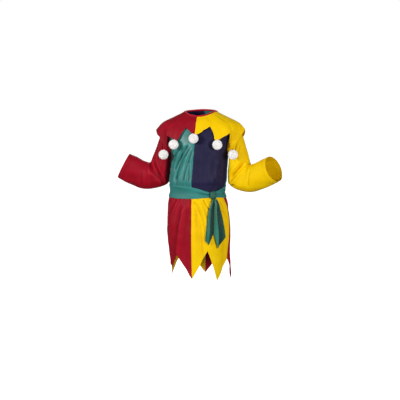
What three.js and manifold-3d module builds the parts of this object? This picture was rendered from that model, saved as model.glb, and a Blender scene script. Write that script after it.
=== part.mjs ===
// A child's jester dress, size 8 to 10, filled out as it is worn, with its own sash tied round the waist.
// The dress is pieced from cloth: a bodice and a skirt of four panels each, two sleeves, a zigzag collar
// in two halves with a yarn pompom on each point, a neck binding, and the sash with its knot and two tails.
// Units are millimetres, +Z is up, the wearer faces -Y, and the wearer's left is +X.
// The origin is in the middle of the neck opening, level with its two sides.
// Levels are heights read at the side of the body. Angles go round the body from its front, 90 is its left.

import * as THREE from "three";
import { mergeVertices } from "three/addons/utils/BufferGeometryUtils.js";
import Module from "manifold-3d";

const wasm = await Module();
wasm.setup();

// Driving sizes
const CLOTH = 1.6;
const COLLAR_CLOTH = 2.2;
const SASH_CLOTH = 1.6;
const SEAM_GAP = 0.3;
const SMALL = 1e-3;
const JUST_UNDER_ONE = 0.9999;
const NECK_EDGE_LEVEL = -5;
const WAIST_LEVEL = -330;
const SIDE_SEAM = 90;
const SKIRT_LEFT_SEAM = 84;
const BODY_SQUARENESS = 2.2;
const BODY_RADIUS = 110;
const SEAM_ANGLE = (SEAM_GAP / 2 / BODY_RADIUS) * (180 / Math.PI);

// How many steps each piece is divided into.
const STEPS = {
  bodice_across: 9,
  above_armhole: 3,
  below_armhole: 7,
  skirt_between_hem_rows: 4,
  skirt_down: 12,
  sleeve_between_sections: 2,
  collar_between_edge_rows: 2,
  collar_out: 5,
  binding_round: 36,
  sash_round: 44,
  sash_down: 4,
  tail_between_corners: 4,
};

const ARMHOLE = { level: -118, half_height: 59, half_angle: 21, steps: 9 };
const SASH = { top: -303, bottom: -356, clear: 1.8 };
const SASH_AT_KNOT = { angle: 43, top: -328, bottom: -349, reach: 34 };
const KNOT = { level: -339, half_width: 15, half_height: 17, half_depth: 10, clear: 1 };
const POMPOM = { radius: 21, core: 15, locks: 16, lock_root: 4, lock_width: 7.4, lock_shoulder: 18 };
const POMPOM_HANG = { down: 0.63, out: 0.78, clear: 0.35 };
const BINDING = { half_height: 4, half_thickness: 3.4, above_cloth: 0.5, sides: 6 };

// Sections of the dress from the neck to the hem: half sizes, and how far front and back hang below the side.
const BODY_SECTIONS = [
  { level: 0, half_width: 60, front: 52, back: 50, front_drop: 18, back_drop: -6 },
  { level: -25, half_width: 100, front: 71, back: 68, front_drop: 28, back_drop: 8 },
  { level: -58, half_width: 146, front: 87, back: 85, front_drop: 37, back_drop: 24 },
  { level: -118, half_width: 134, front: 95, back: 92, front_drop: 16, back_drop: 12 },
  { level: -178, half_width: 120, front: 97, back: 92, front_drop: 0, back_drop: 0 },
  { level: -235, half_width: 117, front: 95, back: 90, front_drop: 0, back_drop: 0 },
  { level: -285, half_width: 119, front: 97, back: 91, front_drop: 0, back_drop: 0 },
  { level: -303, half_width: 116, front: 92, back: 88, front_drop: 0, back_drop: 0 },
  { level: -330, half_width: 112, front: 88, back: 84, front_drop: 0, back_drop: 0 },
  { level: -356, half_width: 118, front: 92, back: 89, front_drop: 0, back_drop: 0 },
  { level: -390, half_width: 127, front: 98, back: 96, front_drop: 0, back_drop: 0 },
  { level: -495, half_width: 135, front: 104, back: 102, front_drop: 0, back_drop: 0 },
  { level: -590, half_width: 129, front: 102, back: 101, front_drop: 0, back_drop: 0 },
  { level: -710, half_width: 120, front: 96, back: 98, front_drop: 0, back_drop: 0 },
];

// The collar's edge all round: its points, the notches and the middles between them, where the edge is cut
// straight. It lies on the bodice like a small cape, and its edge stands off the body by the third number.
const COLLAR_CLEAR = { neck: 2.7, shoulder: 6, shoulder_from: 0.35 };
const COLLAR_EDGE = [
  { angle: -180, level: -46, stand_off: 2, pompom: "" },
  { angle: -167, level: -69, stand_off: 5, pompom: "" },
  { angle: -154, level: -104, stand_off: 8, pompom: "back_right" },
  { angle: -146, level: -86, stand_off: 10, pompom: "" },
  { angle: -138, level: -72, stand_off: 12, pompom: "" },
  { angle: -130, level: -112, stand_off: 21, pompom: "" },
  { angle: -122, level: -150, stand_off: 30, pompom: "arm_back_right" },
  { angle: -106, level: -113, stand_off: 36, pompom: "" },
  { angle: -90, level: -78, stand_off: 42, pompom: "" },
  { angle: -71.5, level: -101, stand_off: 30, pompom: "" },
  { angle: -53, level: -163, stand_off: 18, pompom: "arm_front_right" },
  { angle: -50, level: -117, stand_off: 15, pompom: "" },
  { angle: -47, level: -86, stand_off: 12, pompom: "" },
  { angle: -37.5, level: -93, stand_off: 9, pompom: "" },
  { angle: -28, level: -106, stand_off: 6, pompom: "chest_right" },
  { angle: -22.5, level: -80, stand_off: 4, pompom: "" },
  { angle: -17, level: -38, stand_off: 2, pompom: "" },
  { angle: -8.5, level: -45, stand_off: 2.5, pompom: "" },
  { angle: 0, level: -61, stand_off: 3, pompom: "front" },
  { angle: 13, level: -44, stand_off: 2.5, pompom: "" },
  { angle: 26, level: -37, stand_off: 2, pompom: "" },
  { angle: 29.5, level: -87, stand_off: 4, pompom: "" },
  { angle: 33, level: -106, stand_off: 6, pompom: "chest_left" },
  { angle: 44.5, level: -87, stand_off: 9, pompom: "" },
  { angle: 56, level: -76, stand_off: 12, pompom: "" },
  { angle: 59.5, level: -116, stand_off: 19, pompom: "" },
  { angle: 63, level: -159, stand_off: 26, pompom: "arm_front_left" },
  { angle: 76.5, level: -104, stand_off: 28, pompom: "" },
  { angle: 90, level: -72, stand_off: 31, pompom: "" },
  { angle: 106, level: -110, stand_off: 30, pompom: "" },
  { angle: 122, level: -150, stand_off: 30, pompom: "arm_back_left" },
  { angle: 130, level: -112, stand_off: 21, pompom: "" },
  { angle: 138, level: -72, stand_off: 12, pompom: "" },
  { angle: 146, level: -86, stand_off: 10, pompom: "" },
  { angle: 154, level: -104, stand_off: 8, pompom: "back_left" },
  { angle: 167, level: -69, stand_off: 5, pompom: "" },
  { angle: 180, level: -46, stand_off: 2, pompom: "" },
];

// The skirt's hem all round: points and notches, and how far each swings out.
const HEM_EDGE = [
  { angle: -180, level: -692, swing: 4 },
  { angle: -146, level: -580, swing: 0 },
  { angle: -111, level: -698, swing: 22 },
  { angle: -90, level: -602, swing: -13 },
  { angle: -53, level: -645, swing: -10 },
  { angle: -29, level: -576, swing: 0 },
  { angle: 0, level: -684, swing: 0 },
  { angle: 28, level: -566, swing: 0 },
  { angle: 51, level: -693, swing: 1 },
  { angle: 84, level: -607, swing: -4 },
  { angle: 106, level: -699, swing: 20 },
  { angle: 147, level: -580, swing: 0 },
  { angle: 180, level: -692, swing: 4 },
];

// The hips rest a little to the wearer's right of the shoulders.
const LEAN = [
  { level: 20, shift: 4 },
  { level: -130, shift: 4 },
  { level: -310, shift: -10 },
  { level: -420, shift: -8 },
  { level: -720, shift: -6 },
];

// The largest folds in the bodice and skirt. A fold runs from one level and angle to another.
// Rise is its height, or its depth where it is negative, and open folds run out over the hem.
const BODY_FOLDS = [
  { from: -120, from_angle: -12, to: -262, to_angle: -50, rise: -5, width: 9, open: false },
  { from: -140, from_angle: -22, to: -300, to_angle: -36, rise: -4, width: 8, open: false },
  { from: -150, from_angle: -38, to: -295, to_angle: -66, rise: -4, width: 9, open: false },
  { from: -180, from_angle: -12, to: -305, to_angle: -20, rise: 3, width: 10, open: false },
  { from: -190, from_angle: 52, to: -305, to_angle: 44, rise: 4, width: 11, open: false },
  { from: -160, from_angle: 26, to: -300, to_angle: 20, rise: -3, width: 12, open: false },
  { from: -150, from_angle: 128, to: -305, to_angle: 142, rise: -4, width: 12, open: false },
  { from: -150, from_angle: -132, to: -305, to_angle: -148, rise: -4, width: 12, open: false },
  { from: -170, from_angle: 166, to: -305, to_angle: 170, rise: 4, width: 12, open: false },
  { from: -360, from_angle: -29, to: -600, to_angle: -58, rise: 5, width: 13, open: true },
  { from: -360, from_angle: -18, to: -620, to_angle: -38, rise: -6, width: 12, open: true },
  { from: -360, from_angle: -9, to: -600, to_angle: -25, rise: 5, width: 12, open: true },
  { from: -370, from_angle: -3, to: -640, to_angle: -9, rise: -4, width: 9, open: true },
  { from: -360, from_angle: 3, to: -660, to_angle: 4, rise: 4, width: 10, open: true },
  { from: -360, from_angle: 5, to: -600, to_angle: 21, rise: -6, width: 12, open: true },
  { from: -360, from_angle: 13, to: -560, to_angle: 33, rise: 4, width: 12, open: false },
  { from: -360, from_angle: 64, to: -620, to_angle: 70, rise: -5, width: 14, open: true },
  { from: -360, from_angle: 82, to: -600, to_angle: 88, rise: 4, width: 13, open: true },
  { from: -360, from_angle: -72, to: -600, to_angle: -80, rise: -5, width: 13, open: true },
  { from: -360, from_angle: 104, to: -680, to_angle: 108, rise: -6, width: 14, open: true },
  { from: -360, from_angle: 124, to: -680, to_angle: 130, rise: 5, width: 13, open: true },
  { from: -360, from_angle: 146, to: -600, to_angle: 150, rise: -6, width: 14, open: true },
  { from: -360, from_angle: 168, to: -680, to_angle: 172, rise: 5, width: 13, open: true },
  { from: -360, from_angle: -102, to: -680, to_angle: -106, rise: -5, width: 13, open: true },
  { from: -360, from_angle: -122, to: -680, to_angle: -130, rise: 6, width: 14, open: true },
  { from: -360, from_angle: -142, to: -600, to_angle: -149, rise: -6, width: 13, open: true },
  { from: -360, from_angle: -166, to: -680, to_angle: -168, rise: 5, width: 13, open: true },
];

// Sections of the left sleeve after the armhole: its outer or upper edge and its inner or lower edge, seen
// from the front, how far its middle lies behind the body's middle, half its depth, and then how far the
// forearm brings it forward and slants its front edge in.
const SLEEVE_SECTIONS = [
  { out_x: 162, out_z: -77, in_x: 125, in_z: -194, middle_y: 2, half_depth: 38, forward: 0, slant: 0 },
  { out_x: 176, out_z: -106, in_x: 125, in_z: -214, middle_y: 4, half_depth: 40, forward: 0, slant: 0 },
  { out_x: 192, out_z: -150, in_x: 125, in_z: -243, middle_y: 6, half_depth: 41, forward: 0, slant: 0 },
  { out_x: 206, out_z: -190, in_x: 126, in_z: -274, middle_y: 8, half_depth: 42, forward: 0, slant: 0 },
  { out_x: 212, out_z: -209, in_x: 133, in_z: -302, middle_y: 8, half_depth: 43, forward: 0, slant: 2 },
  { out_x: 216, out_z: -215, in_x: 158, in_z: -316, middle_y: 7, half_depth: 43, forward: 2, slant: 5 },
  { out_x: 220, out_z: -216, in_x: 196, in_z: -327, middle_y: 4, half_depth: 43, forward: 5, slant: 9 },
  { out_x: 229, out_z: -212, in_x: 236, in_z: -328, middle_y: 0, half_depth: 42, forward: 8, slant: 13 },
  { out_x: 245, out_z: -206, in_x: 272, in_z: -317, middle_y: -6, half_depth: 41, forward: 11, slant: 17 },
  { out_x: 273, out_z: -192, in_x: 309, in_z: -301, middle_y: -13, half_depth: 40, forward: 14, slant: 20 },
  { out_x: 300, out_z: -181, in_x: 344, in_z: -280, middle_y: -19, half_depth: 39, forward: 18, slant: 22 },
];

// How much of that forward reach the left and the right forearm have.
const ARM_REACH = { "1": 1, "-1": 0.4 };

// Folds across the sleeves. Along counts sections from the armhole, turn goes round from the outer edge
// towards the front, 90 is the front and 180 the inner or lower edge.
const RIGHT_SLEEVE_FOLDS = [
  { from: 5.6, from_turn: 10, to: 5.2, to_turn: 150, rise: -9, width: 0.5 },
  { from: 6.6, from_turn: 10, to: 6.3, to_turn: 110, rise: 5, width: 0.5 },
  { from: 5.4, from_turn: 215, to: 5.5, to_turn: 340, rise: -7, width: 0.5 },
  { from: 3.2, from_turn: 60, to: 4.4, to_turn: 130, rise: -4, width: 0.5 },
];
const LEFT_SLEEVE_FOLDS = [
  { from: 4.2, from_turn: 30, to: 4.6, to_turn: 150, rise: -8, width: 0.45 },
  { from: 5.6, from_turn: 20, to: 5.2, to_turn: 110, rise: 5, width: 0.5 },
  { from: 6.1, from_turn: 130, to: 5.0, to_turn: 185, rise: -6, width: 0.4 },
  { from: 5.5, from_turn: 220, to: 5.4, to_turn: 345, rise: -7, width: 0.5 },
];

// The sash's two tails hang from the knot over the skirt. Spread gives each tail's two side edges, as angles,
// from the knot at down 0 to its end at down 1. The outer tail's fold laps over the inner one.
const SASH_TAILS = [
  {
    name: "sash_tail_inner",
    spread: [
      { down: 0, start: 40.6, end: 42.8 },
      { down: 0.06, start: 37, end: 42.9 },
      { down: 0.2, start: 31.5, end: 42.4 },
      { down: 0.35, start: 27.5, end: 41.8 },
      { down: 0.75, start: 23.2, end: 40 },
      { down: 1, start: 22, end: 37.8 },
    ],
    edge: [
      { across: 0, level: -522 },
      { across: 0.41, level: -541 },
      { across: 1, level: -493 },
    ],
    waves: 1.5,
  },
  {
    name: "sash_tail_outer",
    spread: [
      { down: 0, start: 43.2, end: 45.4 },
      { down: 0.06, start: 43.4, end: 50 },
      { down: 0.2, start: 41.6, end: 54 },
      { down: 0.35, start: 40.2, end: 57.5 },
      { down: 0.75, start: 38.6, end: 65.5 },
      { down: 1, start: 37.6, end: 69 },
    ],
    edge: [
      { across: 0, level: -497 },
      { across: 0.24, level: -556 },
      { across: 1, level: -514 },
    ],
    waves: 2,
  },
];
const TAIL_DOWNS = [0, 0.03, 0.06, 0.12, 0.2, 0.3, 0.42, 0.56, 0.72, 0.86, 1];
const TAIL_TOP_LEVEL = KNOT.level - KNOT.half_height + 1.3;
const TAIL_TOP_OUT = SASH_CLOTH + SASH.clear + KNOT.half_depth + KNOT.clear + SASH_CLOTH / 2;
const TAIL_CLEAR = 1.3;
const TAIL_WAVE = 4;

const CLOTHS = {
  red: new THREE.MeshStandardMaterial({ color: 0xa31527, roughness: 0.8, metalness: 0 }),
  yellow: new THREE.MeshStandardMaterial({ color: 0xf2cd06, roughness: 0.8, metalness: 0 }),
  green: new THREE.MeshStandardMaterial({ color: 0x2f7a70, roughness: 0.6, metalness: 0 }),
  navy: new THREE.MeshStandardMaterial({ color: 0x2a2548, roughness: 0.85, metalness: 0 }),
  sash_green: new THREE.MeshStandardMaterial({ color: 0x35857c, roughness: 0.5, metalness: 0 }),
  white_yarn: new THREE.MeshStandardMaterial({ color: 0xf1ecea, roughness: 0.95, metalness: 0 }),
};

const radians = THREE.MathUtils.degToRad;
const lerp = THREE.MathUtils.lerp;
const smoothstep = THREE.MathUtils.smoothstep;

// Reads every number of a table between two of its rows, on a smooth curve through them.
function readSmooth(table, column, at) {
  const direction = Math.sign(table[table.length - 1][column] - table[0][column]);
  let i = 0;
  while (i < table.length - 2 && (at - table[i + 1][column]) * direction > 0) i += 1;
  const row = (k) => table[Math.min(Math.max(k, 0), table.length - 1)];
  const [before, start, end, after] = [row(i - 1), row(i), row(i + 1), row(i + 2)];
  const span = end[column] - start[column];
  const t = (at - start[column]) / span;
  const read = {};
  for (const name of Object.keys(start)) {
    const slopeAt = (a, b) => ((b[name] - a[name]) / (b[column] - a[column] || span)) * span;
    const [m0, m1] = [slopeAt(before, end), slopeAt(start, after)];
    const [t2, t3] = [t * t, t * t * t];
    const between = (2 * t3 - 3 * t2 + 1) * start[name] + (3 * t2 - 2 * t3) * end[name];
    read[name] = between + (t3 - 2 * t2 + t) * m0 + (t3 - t2) * m1;
  }
  return read;
}

// Reads one column of a table on straight lines between its rows, as along a zigzag edge.
function readStraight(table, column, at, name) {
  let i = 0;
  while (i < table.length - 2 && at > table[i + 1][column]) i += 1;
  const [start, end] = [table[i], table[i + 1]];
  const t = (at - start[column]) / (end[column] - start[column]);
  return lerp(start[name], end[name], t);
}

// A point of an oval section, flatter at its sides when squareness is over 2.
function sectionPoint(section, angle, squareness) {
  const [sine, cosine] = [Math.sin(radians(angle)), Math.cos(radians(angle))];
  const power = 2 / squareness;
  const inFront = cosine > 0;
  return new THREE.Vector3(
    section.half_width * Math.sign(sine) * Math.abs(sine) ** power,
    -(inFront ? section.front : section.back) * Math.sign(cosine) * Math.abs(cosine) ** power,
    section.level - (inFront ? section.front_drop : section.back_drop) * cosine ** 2,
  );
}

function moveOutward(point, by) {
  const reach = Math.hypot(point.x, point.y);
  point.x *= 1 + by / reach;
  point.y *= 1 + by / reach;
  return point;
}

function leanWithHips(point) {
  point.x += readSmooth(LEAN, "level", point.z).shift;
  return point;
}

const turnBetween = (a, b) => ((a - b + 540) % 360) - 180;

function foldRise(level, angle) {
  let rise = 0;
  for (const fold of BODY_FOLDS) {
    const t = (level - fold.from) / (fold.to - fold.from);
    const fade = smoothstep(t, 0, 0.2) * (fold.open ? 1 : 1 - smoothstep(t, 0.75, 1));
    const middle = lerp(fold.from_angle, fold.to_angle, Math.min(t, 1.2));
    const away = radians(turnBetween(angle, middle)) * BODY_RADIUS;
    rise += fade * fold.rise * Math.exp(-((away / fold.width) ** 2));
  }
  return rise;
}

// The outer face of the bodice and skirt, moved out by a distance, before the body leans.
function uprightPoint(level, angle, out = 0) {
  const section = readSmooth(BODY_SECTIONS, "level", level);
  return moveOutward(sectionPoint(section, angle, BODY_SQUARENESS), out + foldRise(level, angle));
}

function bodyPoint(level, angle, out = 0) {
  return leanWithHips(uprightPoint(level, angle, out));
}

// The direction straight out of a face at one of its points, where across runs to the wearer's left
// at the front and down runs to the hem.
function directionOut(face, across, down, downStep = SMALL) {
  const alongAcross = face(across + SMALL, down).sub(face(across - SMALL, down));
  const alongDown = face(across, down + downStep).sub(face(across, down - downStep));
  return alongDown.cross(alongAcross).normalize();
}

// The outer face of the collar at an angle, where down is 0 at the neck and 1 at the zigzag edge.
function collarPoint(angle, down) {
  const read = (name) => readStraight(COLLAR_EDGE, "angle", angle, name);
  const level = lerp(NECK_EDGE_LEVEL, read("level"), down);
  const underneath = (a, l) => sectionPoint(readSmooth(BODY_SECTIONS, "level", l), a, BODY_SQUARENESS);
  const point = underneath(angle, level);
  const onShoulder = smoothstep(down, 0, COLLAR_CLEAR.shoulder_from);
  const clear = lerp(COLLAR_CLEAR.neck, COLLAR_CLEAR.shoulder, onShoulder);
  point.addScaledVector(directionOut(underneath, angle, level, -SMALL), clear);
  return leanWithHips(moveOutward(point, read("stand_off") * down ** 2));
}

// A closed cloth wall: a grid of points on its outer face, the same grid one thickness further in, and rims.
function clothWall(outerFace, acrossSteps, downSteps, thickness, isTube = false) {
  const [columns, rows] = [acrossSteps.length, downSteps.length];
  const outer = [];
  const inner = [];
  for (const down of downSteps) {
    for (const across of acrossSteps) {
      const point = outerFace(across, down);
      outer.push(point);
      inner.push(point.clone().addScaledVector(directionOut(outerFace, across, down), -thickness));
    }
  }
  const points = [...outer, ...inner];
  const faces = [];
  const quad = (a, b, c, d) => faces.push(a, b, c, a, c, d);
  const lastColumn = isTube ? columns : columns - 1;
  const at = (row, column) => row * columns + (column % columns);
  const inside = (index) => index + outer.length;
  for (let i = 0; i < rows - 1; i += 1) {
    for (let j = 0; j < lastColumn; j += 1) {
      const corners = [at(i, j), at(i + 1, j), at(i + 1, j + 1), at(i, j + 1)];
      quad(...corners);
      quad(...corners.map(inside).reverse());
    }
  }
  for (let j = 0; j < lastColumn; j += 1) {
    quad(at(0, j), at(0, j + 1), inside(at(0, j + 1)), inside(at(0, j)));
    const last = rows - 1;
    quad(at(last, j + 1), at(last, j), inside(at(last, j)), inside(at(last, j + 1)));
  }
  for (let i = 0; i < rows - 1 && !isTube; i += 1) {
    quad(at(i + 1, 0), at(i, 0), inside(at(i, 0)), inside(at(i + 1, 0)));
    const last = columns - 1;
    quad(at(i, last), at(i + 1, last), inside(at(i + 1, last)), inside(at(i, last)));
  }
  return facingOut(points, faces);
}

// A geometry from points and triangles, turned so that its faces point out.
function facingOut(points, faces) {
  let volume = 0;
  for (let i = 0; i < faces.length; i += 3) {
    const [a, b, c] = [points[faces[i]], points[faces[i + 1]], points[faces[i + 2]]];
    volume += a.dot(b.clone().cross(c)) / 6;
  }
  const order = volume < 0 ? faces.reverse() : faces;
  const geometry = new THREE.BufferGeometry().setFromPoints(points);
  geometry.setIndex(order);
  geometry.computeVertexNormals();
  return geometry;
}

function evenSteps(from, to, count) {
  return Array.from({ length: count + 1 }, (_, i) => lerp(from, to, i / count));
}

// Steps that pass through every row of an edge table, with so many steps between two rows.
function stepsThrough(table, column, between) {
  const steps = [table[0][column]];
  for (let i = 1; i < table.length; i += 1) {
    steps.push(...evenSteps(table[i - 1][column], table[i][column], between).slice(1));
  }
  return steps;
}

// Moves the first and last angle of a panel in by half a seam's gap.
function seamInset(angles) {
  const rising = Math.sign(angles[angles.length - 1] - angles[0]);
  const inset = angles.slice();
  inset[0] += rising * SEAM_ANGLE;
  inset[inset.length - 1] -= rising * SEAM_ANGLE;
  return inset;
}

const dress = new THREE.Group();

function addPiece(name, geometry, material) {
  const piece = new THREE.Mesh(geometry, material);
  piece.name = name;
  dress.add(piece);
}

// A panel covers a quarter of the body. Its side edge is the side seam, and at the armhole it is cut back.
const QUARTERS = [
  { name: "front_right", from: -90, to: 0, bodice: "green", skirt: "red" },
  { name: "front_left", from: 0, to: 90, bodice: "navy", skirt: "yellow" },
  { name: "back_left", from: 90, to: 180, bodice: "green", skirt: "red" },
  { name: "back_right", from: -180, to: -90, bodice: "navy", skirt: "yellow" },
];

// How far round the body the armhole cuts into a panel at a level.
function armholeCut(level) {
  const height = (level - ARMHOLE.level) / ARMHOLE.half_height;
  return Math.abs(height) < 1 ? ARMHOLE.half_angle * Math.sqrt(1 - height * height) : 0;
}

function bodicePanel({ from, to }) {
  const sideIsLast = Math.abs(to) === SIDE_SEAM;
  const outerFace = (across, drop) => {
    const cut = armholeCut(-drop);
    const start = from + SEAM_ANGLE + (sideIsLast ? 0 : cut);
    const end = to - SEAM_ANGLE - (sideIsLast ? cut : 0);
    return bodyPoint(-drop, lerp(start, end, across));
  };
  const aroundArmhole = evenSteps(0, 180, ARMHOLE.steps).map(
    (turn) => -ARMHOLE.level - ARMHOLE.half_height * JUST_UNDER_ONE * Math.cos(radians(turn)),
  );
  const drops = [
    ...evenSteps(-NECK_EDGE_LEVEL, aroundArmhole[0], STEPS.above_armhole).slice(0, -1),
    ...aroundArmhole,
    ...evenSteps(aroundArmhole[ARMHOLE.steps], -WAIST_LEVEL - SEAM_GAP / 2, STEPS.below_armhole).slice(1),
  ];
  return clothWall(outerFace, evenSteps(0, 1, STEPS.bodice_across), drops, CLOTH);
}

function hemSwing(angle, down) {
  return readStraight(HEM_EDGE, "angle", angle, "swing") * down ** 3;
}

// The skirt's left side seam is pulled a little towards the front, so a strip of the back shows there.
function skirtPanel(quarter) {
  const [from, to] = [quarter.from, quarter.to].map((angle) => (angle === SIDE_SEAM ? SKIRT_LEFT_SEAM : angle));
  const outerFace = (angle, down) => {
    const edge = readStraight(HEM_EDGE, "angle", angle, "level");
    return bodyPoint(lerp(WAIST_LEVEL - SEAM_GAP / 2, edge, down), angle, hemSwing(angle, down));
  };
  const allAngles = stepsThrough(HEM_EDGE, "angle", STEPS.skirt_between_hem_rows);
  const angles = allAngles.filter((angle) => angle >= from && angle <= to);
  return clothWall(outerFace, seamInset(angles), evenSteps(0, 1, STEPS.skirt_down), CLOTH);
}

for (const quarter of QUARTERS) {
  addPiece(`bodice_${quarter.name}`, bodicePanel(quarter), CLOTHS[quarter.bodice]);
  addPiece(`skirt_${quarter.name}`, skirtPanel(quarter), CLOTHS[quarter.skirt]);
}

// The left sleeve's outer face. Along 0 is the armhole seam, and each whole number after it is a section.
// The seam itself is a curve on the bodice, a little inside the armhole's edge.
function armholePoint(side, turn) {
  const inset = 1 - SEAM_GAP / ARMHOLE.half_height;
  const level = ARMHOLE.level + ARMHOLE.half_height * inset * Math.cos(radians(turn));
  const angle = 90 - (ARMHOLE.half_angle - 2 * SEAM_ANGLE) * Math.sin(radians(turn));
  return uprightPoint(level, side * angle);
}

function sleeveSectionPoint(section, side, turn) {
  const [sine, cosine] = [Math.sin(radians(turn)), Math.cos(radians(turn))];
  const reach = ARM_REACH[side];
  const x = lerp(section.in_x, section.out_x, (1 + cosine) / 2) - reach * section.slant * sine;
  const z = lerp(section.in_z, section.out_z, (1 + cosine) / 2);
  const y = section.middle_y - reach * section.forward - section.half_depth * sine;
  return new THREE.Vector3(side * x, y, z);
}

function smoothSleevePoint(side, turn, along) {
  const sections = SLEEVE_SECTIONS.map((section) => sleeveSectionPoint(section, side, turn));
  const rows = [armholePoint(side, turn), ...sections].map((point, i) => ({ along: i, ...point }));
  const { x, y, z } = readSmooth(rows, "along", along);
  return new THREE.Vector3(x, y, z);
}

function sleeveFoldRise(folds, turn, along) {
  let rise = 0;
  for (const fold of folds) {
    const t = (((turn % 360) + 360) % 360 - fold.from_turn) / (fold.to_turn - fold.from_turn);
    const fade = smoothstep(t, 0, 0.3) * (1 - smoothstep(t, 0.7, 1));
    const away = along - lerp(fold.from, fold.to, t);
    rise += fade * fold.rise * Math.exp(-((away / fold.width) ** 2));
  }
  return rise;
}

function sleevePoint(folds, side, turn, along) {
  const point = smoothSleevePoint(side, turn, along);
  const middle = smoothSleevePoint(side, turn + 180, along).add(point).multiplyScalar(0.5);
  const outward = point.clone().sub(middle).normalize();
  return leanWithHips(point.addScaledVector(outward, sleeveFoldRise(folds, turn, along)));
}

const SLEEVES = [
  { name: "sleeve_left", side: 1, folds: LEFT_SLEEVE_FOLDS, cloth: "yellow" },
  { name: "sleeve_right", side: -1, folds: RIGHT_SLEEVE_FOLDS, cloth: "red" },
];
for (const { name, side, folds, cloth } of SLEEVES) {
  const turns = evenSteps(0, 360, 2 * ARMHOLE.steps).slice(0, -1);
  const outerFace = (turn, along) => sleevePoint(folds, side, -side * turn, along);
  const alongs = evenSteps(0, SLEEVE_SECTIONS.length, STEPS.sleeve_between_sections * SLEEVE_SECTIONS.length);
  addPiece(name, clothWall(outerFace, turns, alongs, CLOTH, true), CLOTHS[cloth]);
}

// The collar's two halves meet in seams at the front and back.
const COLLAR_HALVES = [
  { name: "collar_right", from: -180, to: 0, cloth: "red" },
  { name: "collar_left", from: 0, to: 180, cloth: "yellow" },
];
for (const { name, from, to, cloth } of COLLAR_HALVES) {
  const allAngles = stepsThrough(COLLAR_EDGE, "angle", STEPS.collar_between_edge_rows);
  const angles = seamInset(allAngles.filter((angle) => angle >= from && angle <= to));
  const half = clothWall(collarPoint, angles, evenSteps(0, 1, STEPS.collar_out), COLLAR_CLOTH);
  addPiece(name, half, CLOTHS[cloth]);
}

// The binding is a soft roll round the neck edge of bodice and collar.
function neckBinding() {
  const roundSteps = evenSteps(0, 360, STEPS.binding_round).slice(0, -1);
  const face = (angle, level) => uprightPoint(level, angle);
  const points = [];
  for (const angle of roundSteps) {
    const edge = face(angle, NECK_EDGE_LEVEL);
    const outward = directionOut(face, angle, NECK_EDGE_LEVEL, -SMALL);
    const upward = face(angle, NECK_EDGE_LEVEL + 1).sub(edge).normalize();
    for (let k = 0; k < BINDING.sides; k += 1) {
      const turn = (k / BINDING.sides) * 2 * Math.PI;
      const out = BINDING.above_cloth + BINDING.half_thickness * Math.sin(turn);
      const up = BINDING.half_height * (1 + Math.cos(turn)) + SEAM_GAP;
      const point = edge.clone().addScaledVector(outward, out).addScaledVector(upward, up);
      points.push(leanWithHips(point));
    }
  }
  const faces = [];
  const at = (i, k) => (i % roundSteps.length) * BINDING.sides + (k % BINDING.sides);
  for (let i = 0; i < roundSteps.length; i += 1) {
    for (let k = 0; k < BINDING.sides; k += 1) {
      faces.push(at(i, k), at(i + 1, k), at(i + 1, k + 1), at(i, k), at(i + 1, k + 1), at(i, k + 1));
    }
  }
  return facingOut(points, faces);
}
addPiece("neck_binding", neckBinding(), CLOTHS.red);

// The sash lies round the waist and is drawn narrow at its knot.
function sashPoint(angle, down) {
  const drawn = Math.exp(-((turnBetween(angle, SASH_AT_KNOT.angle) / SASH_AT_KNOT.reach) ** 2));
  const top = lerp(SASH.top, SASH_AT_KNOT.top, drawn);
  const bottom = lerp(SASH.bottom, SASH_AT_KNOT.bottom, drawn);
  const level = lerp(top, bottom, down);
  return bodyPoint(level, angle, SASH_CLOTH + SASH.clear);
}

const sashAngles = evenSteps(0, 360, STEPS.sash_round).slice(0, -1);
const sashDowns = evenSteps(0, 1, STEPS.sash_down);
addPiece("sash_band", clothWall(sashPoint, sashAngles, sashDowns, SASH_CLOTH, true), CLOTHS.sash_green);

// The knot sits on the sash, squashed flat against it.
function sashKnot() {
  const seat = sashPoint(SASH_AT_KNOT.angle, 0.5);
  const outward = directionOut(sashPoint, SASH_AT_KNOT.angle, 0.5).setZ(0).normalize();
  const geometry = new THREE.SphereGeometry(1, 12, 8);
  geometry.scale(KNOT.half_depth, KNOT.half_width, KNOT.half_height);
  geometry.rotateZ(Math.atan2(outward.y, outward.x));
  const middle = seat.addScaledVector(outward, KNOT.half_depth + KNOT.clear);
  geometry.translate(middle.x, middle.y, KNOT.level);
  return geometry;
}
addPiece("sash_knot", sashKnot(), CLOTHS.sash_green);

for (const tail of SASH_TAILS) {
  const outerFace = (across, down) => {
    const edge = readStraight(tail.edge, "across", across, "level");
    const { start, end } = readSmooth(tail.spread, "down", down);
    const loose = smoothstep(down, 0, 0.3);
    const wave = TAIL_WAVE * Math.cos(2 * Math.PI * tail.waves * across) * loose;
    const out = lerp(TAIL_TOP_OUT, TAIL_CLEAR + SASH_CLOTH + TAIL_WAVE, loose) + wave;
    return bodyPoint(lerp(TAIL_TOP_LEVEL, edge, down), lerp(start, end, across), out);
  };
  const acrossSteps = stepsThrough(tail.edge, "across", STEPS.tail_between_corners);
  addPiece(tail.name, clothWall(outerFace, acrossSteps, TAIL_DOWNS, SASH_CLOTH), CLOTHS.sash_green);
}

// A pompom is a ball of yarn locks that stand on a small core.
function merged(geometry) {
  geometry.deleteAttribute("normal");
  geometry.deleteAttribute("uv");
  return mergeVertices(geometry, 1e-4);
}

function solidFrom(geometry) {
  const vertProperties = geometry.attributes.position.array;
  const triVerts = new Uint32Array(geometry.index.array);
  return new wasm.Manifold(new wasm.Mesh({ numProp: 3, vertProperties, triVerts }));
}

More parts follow.
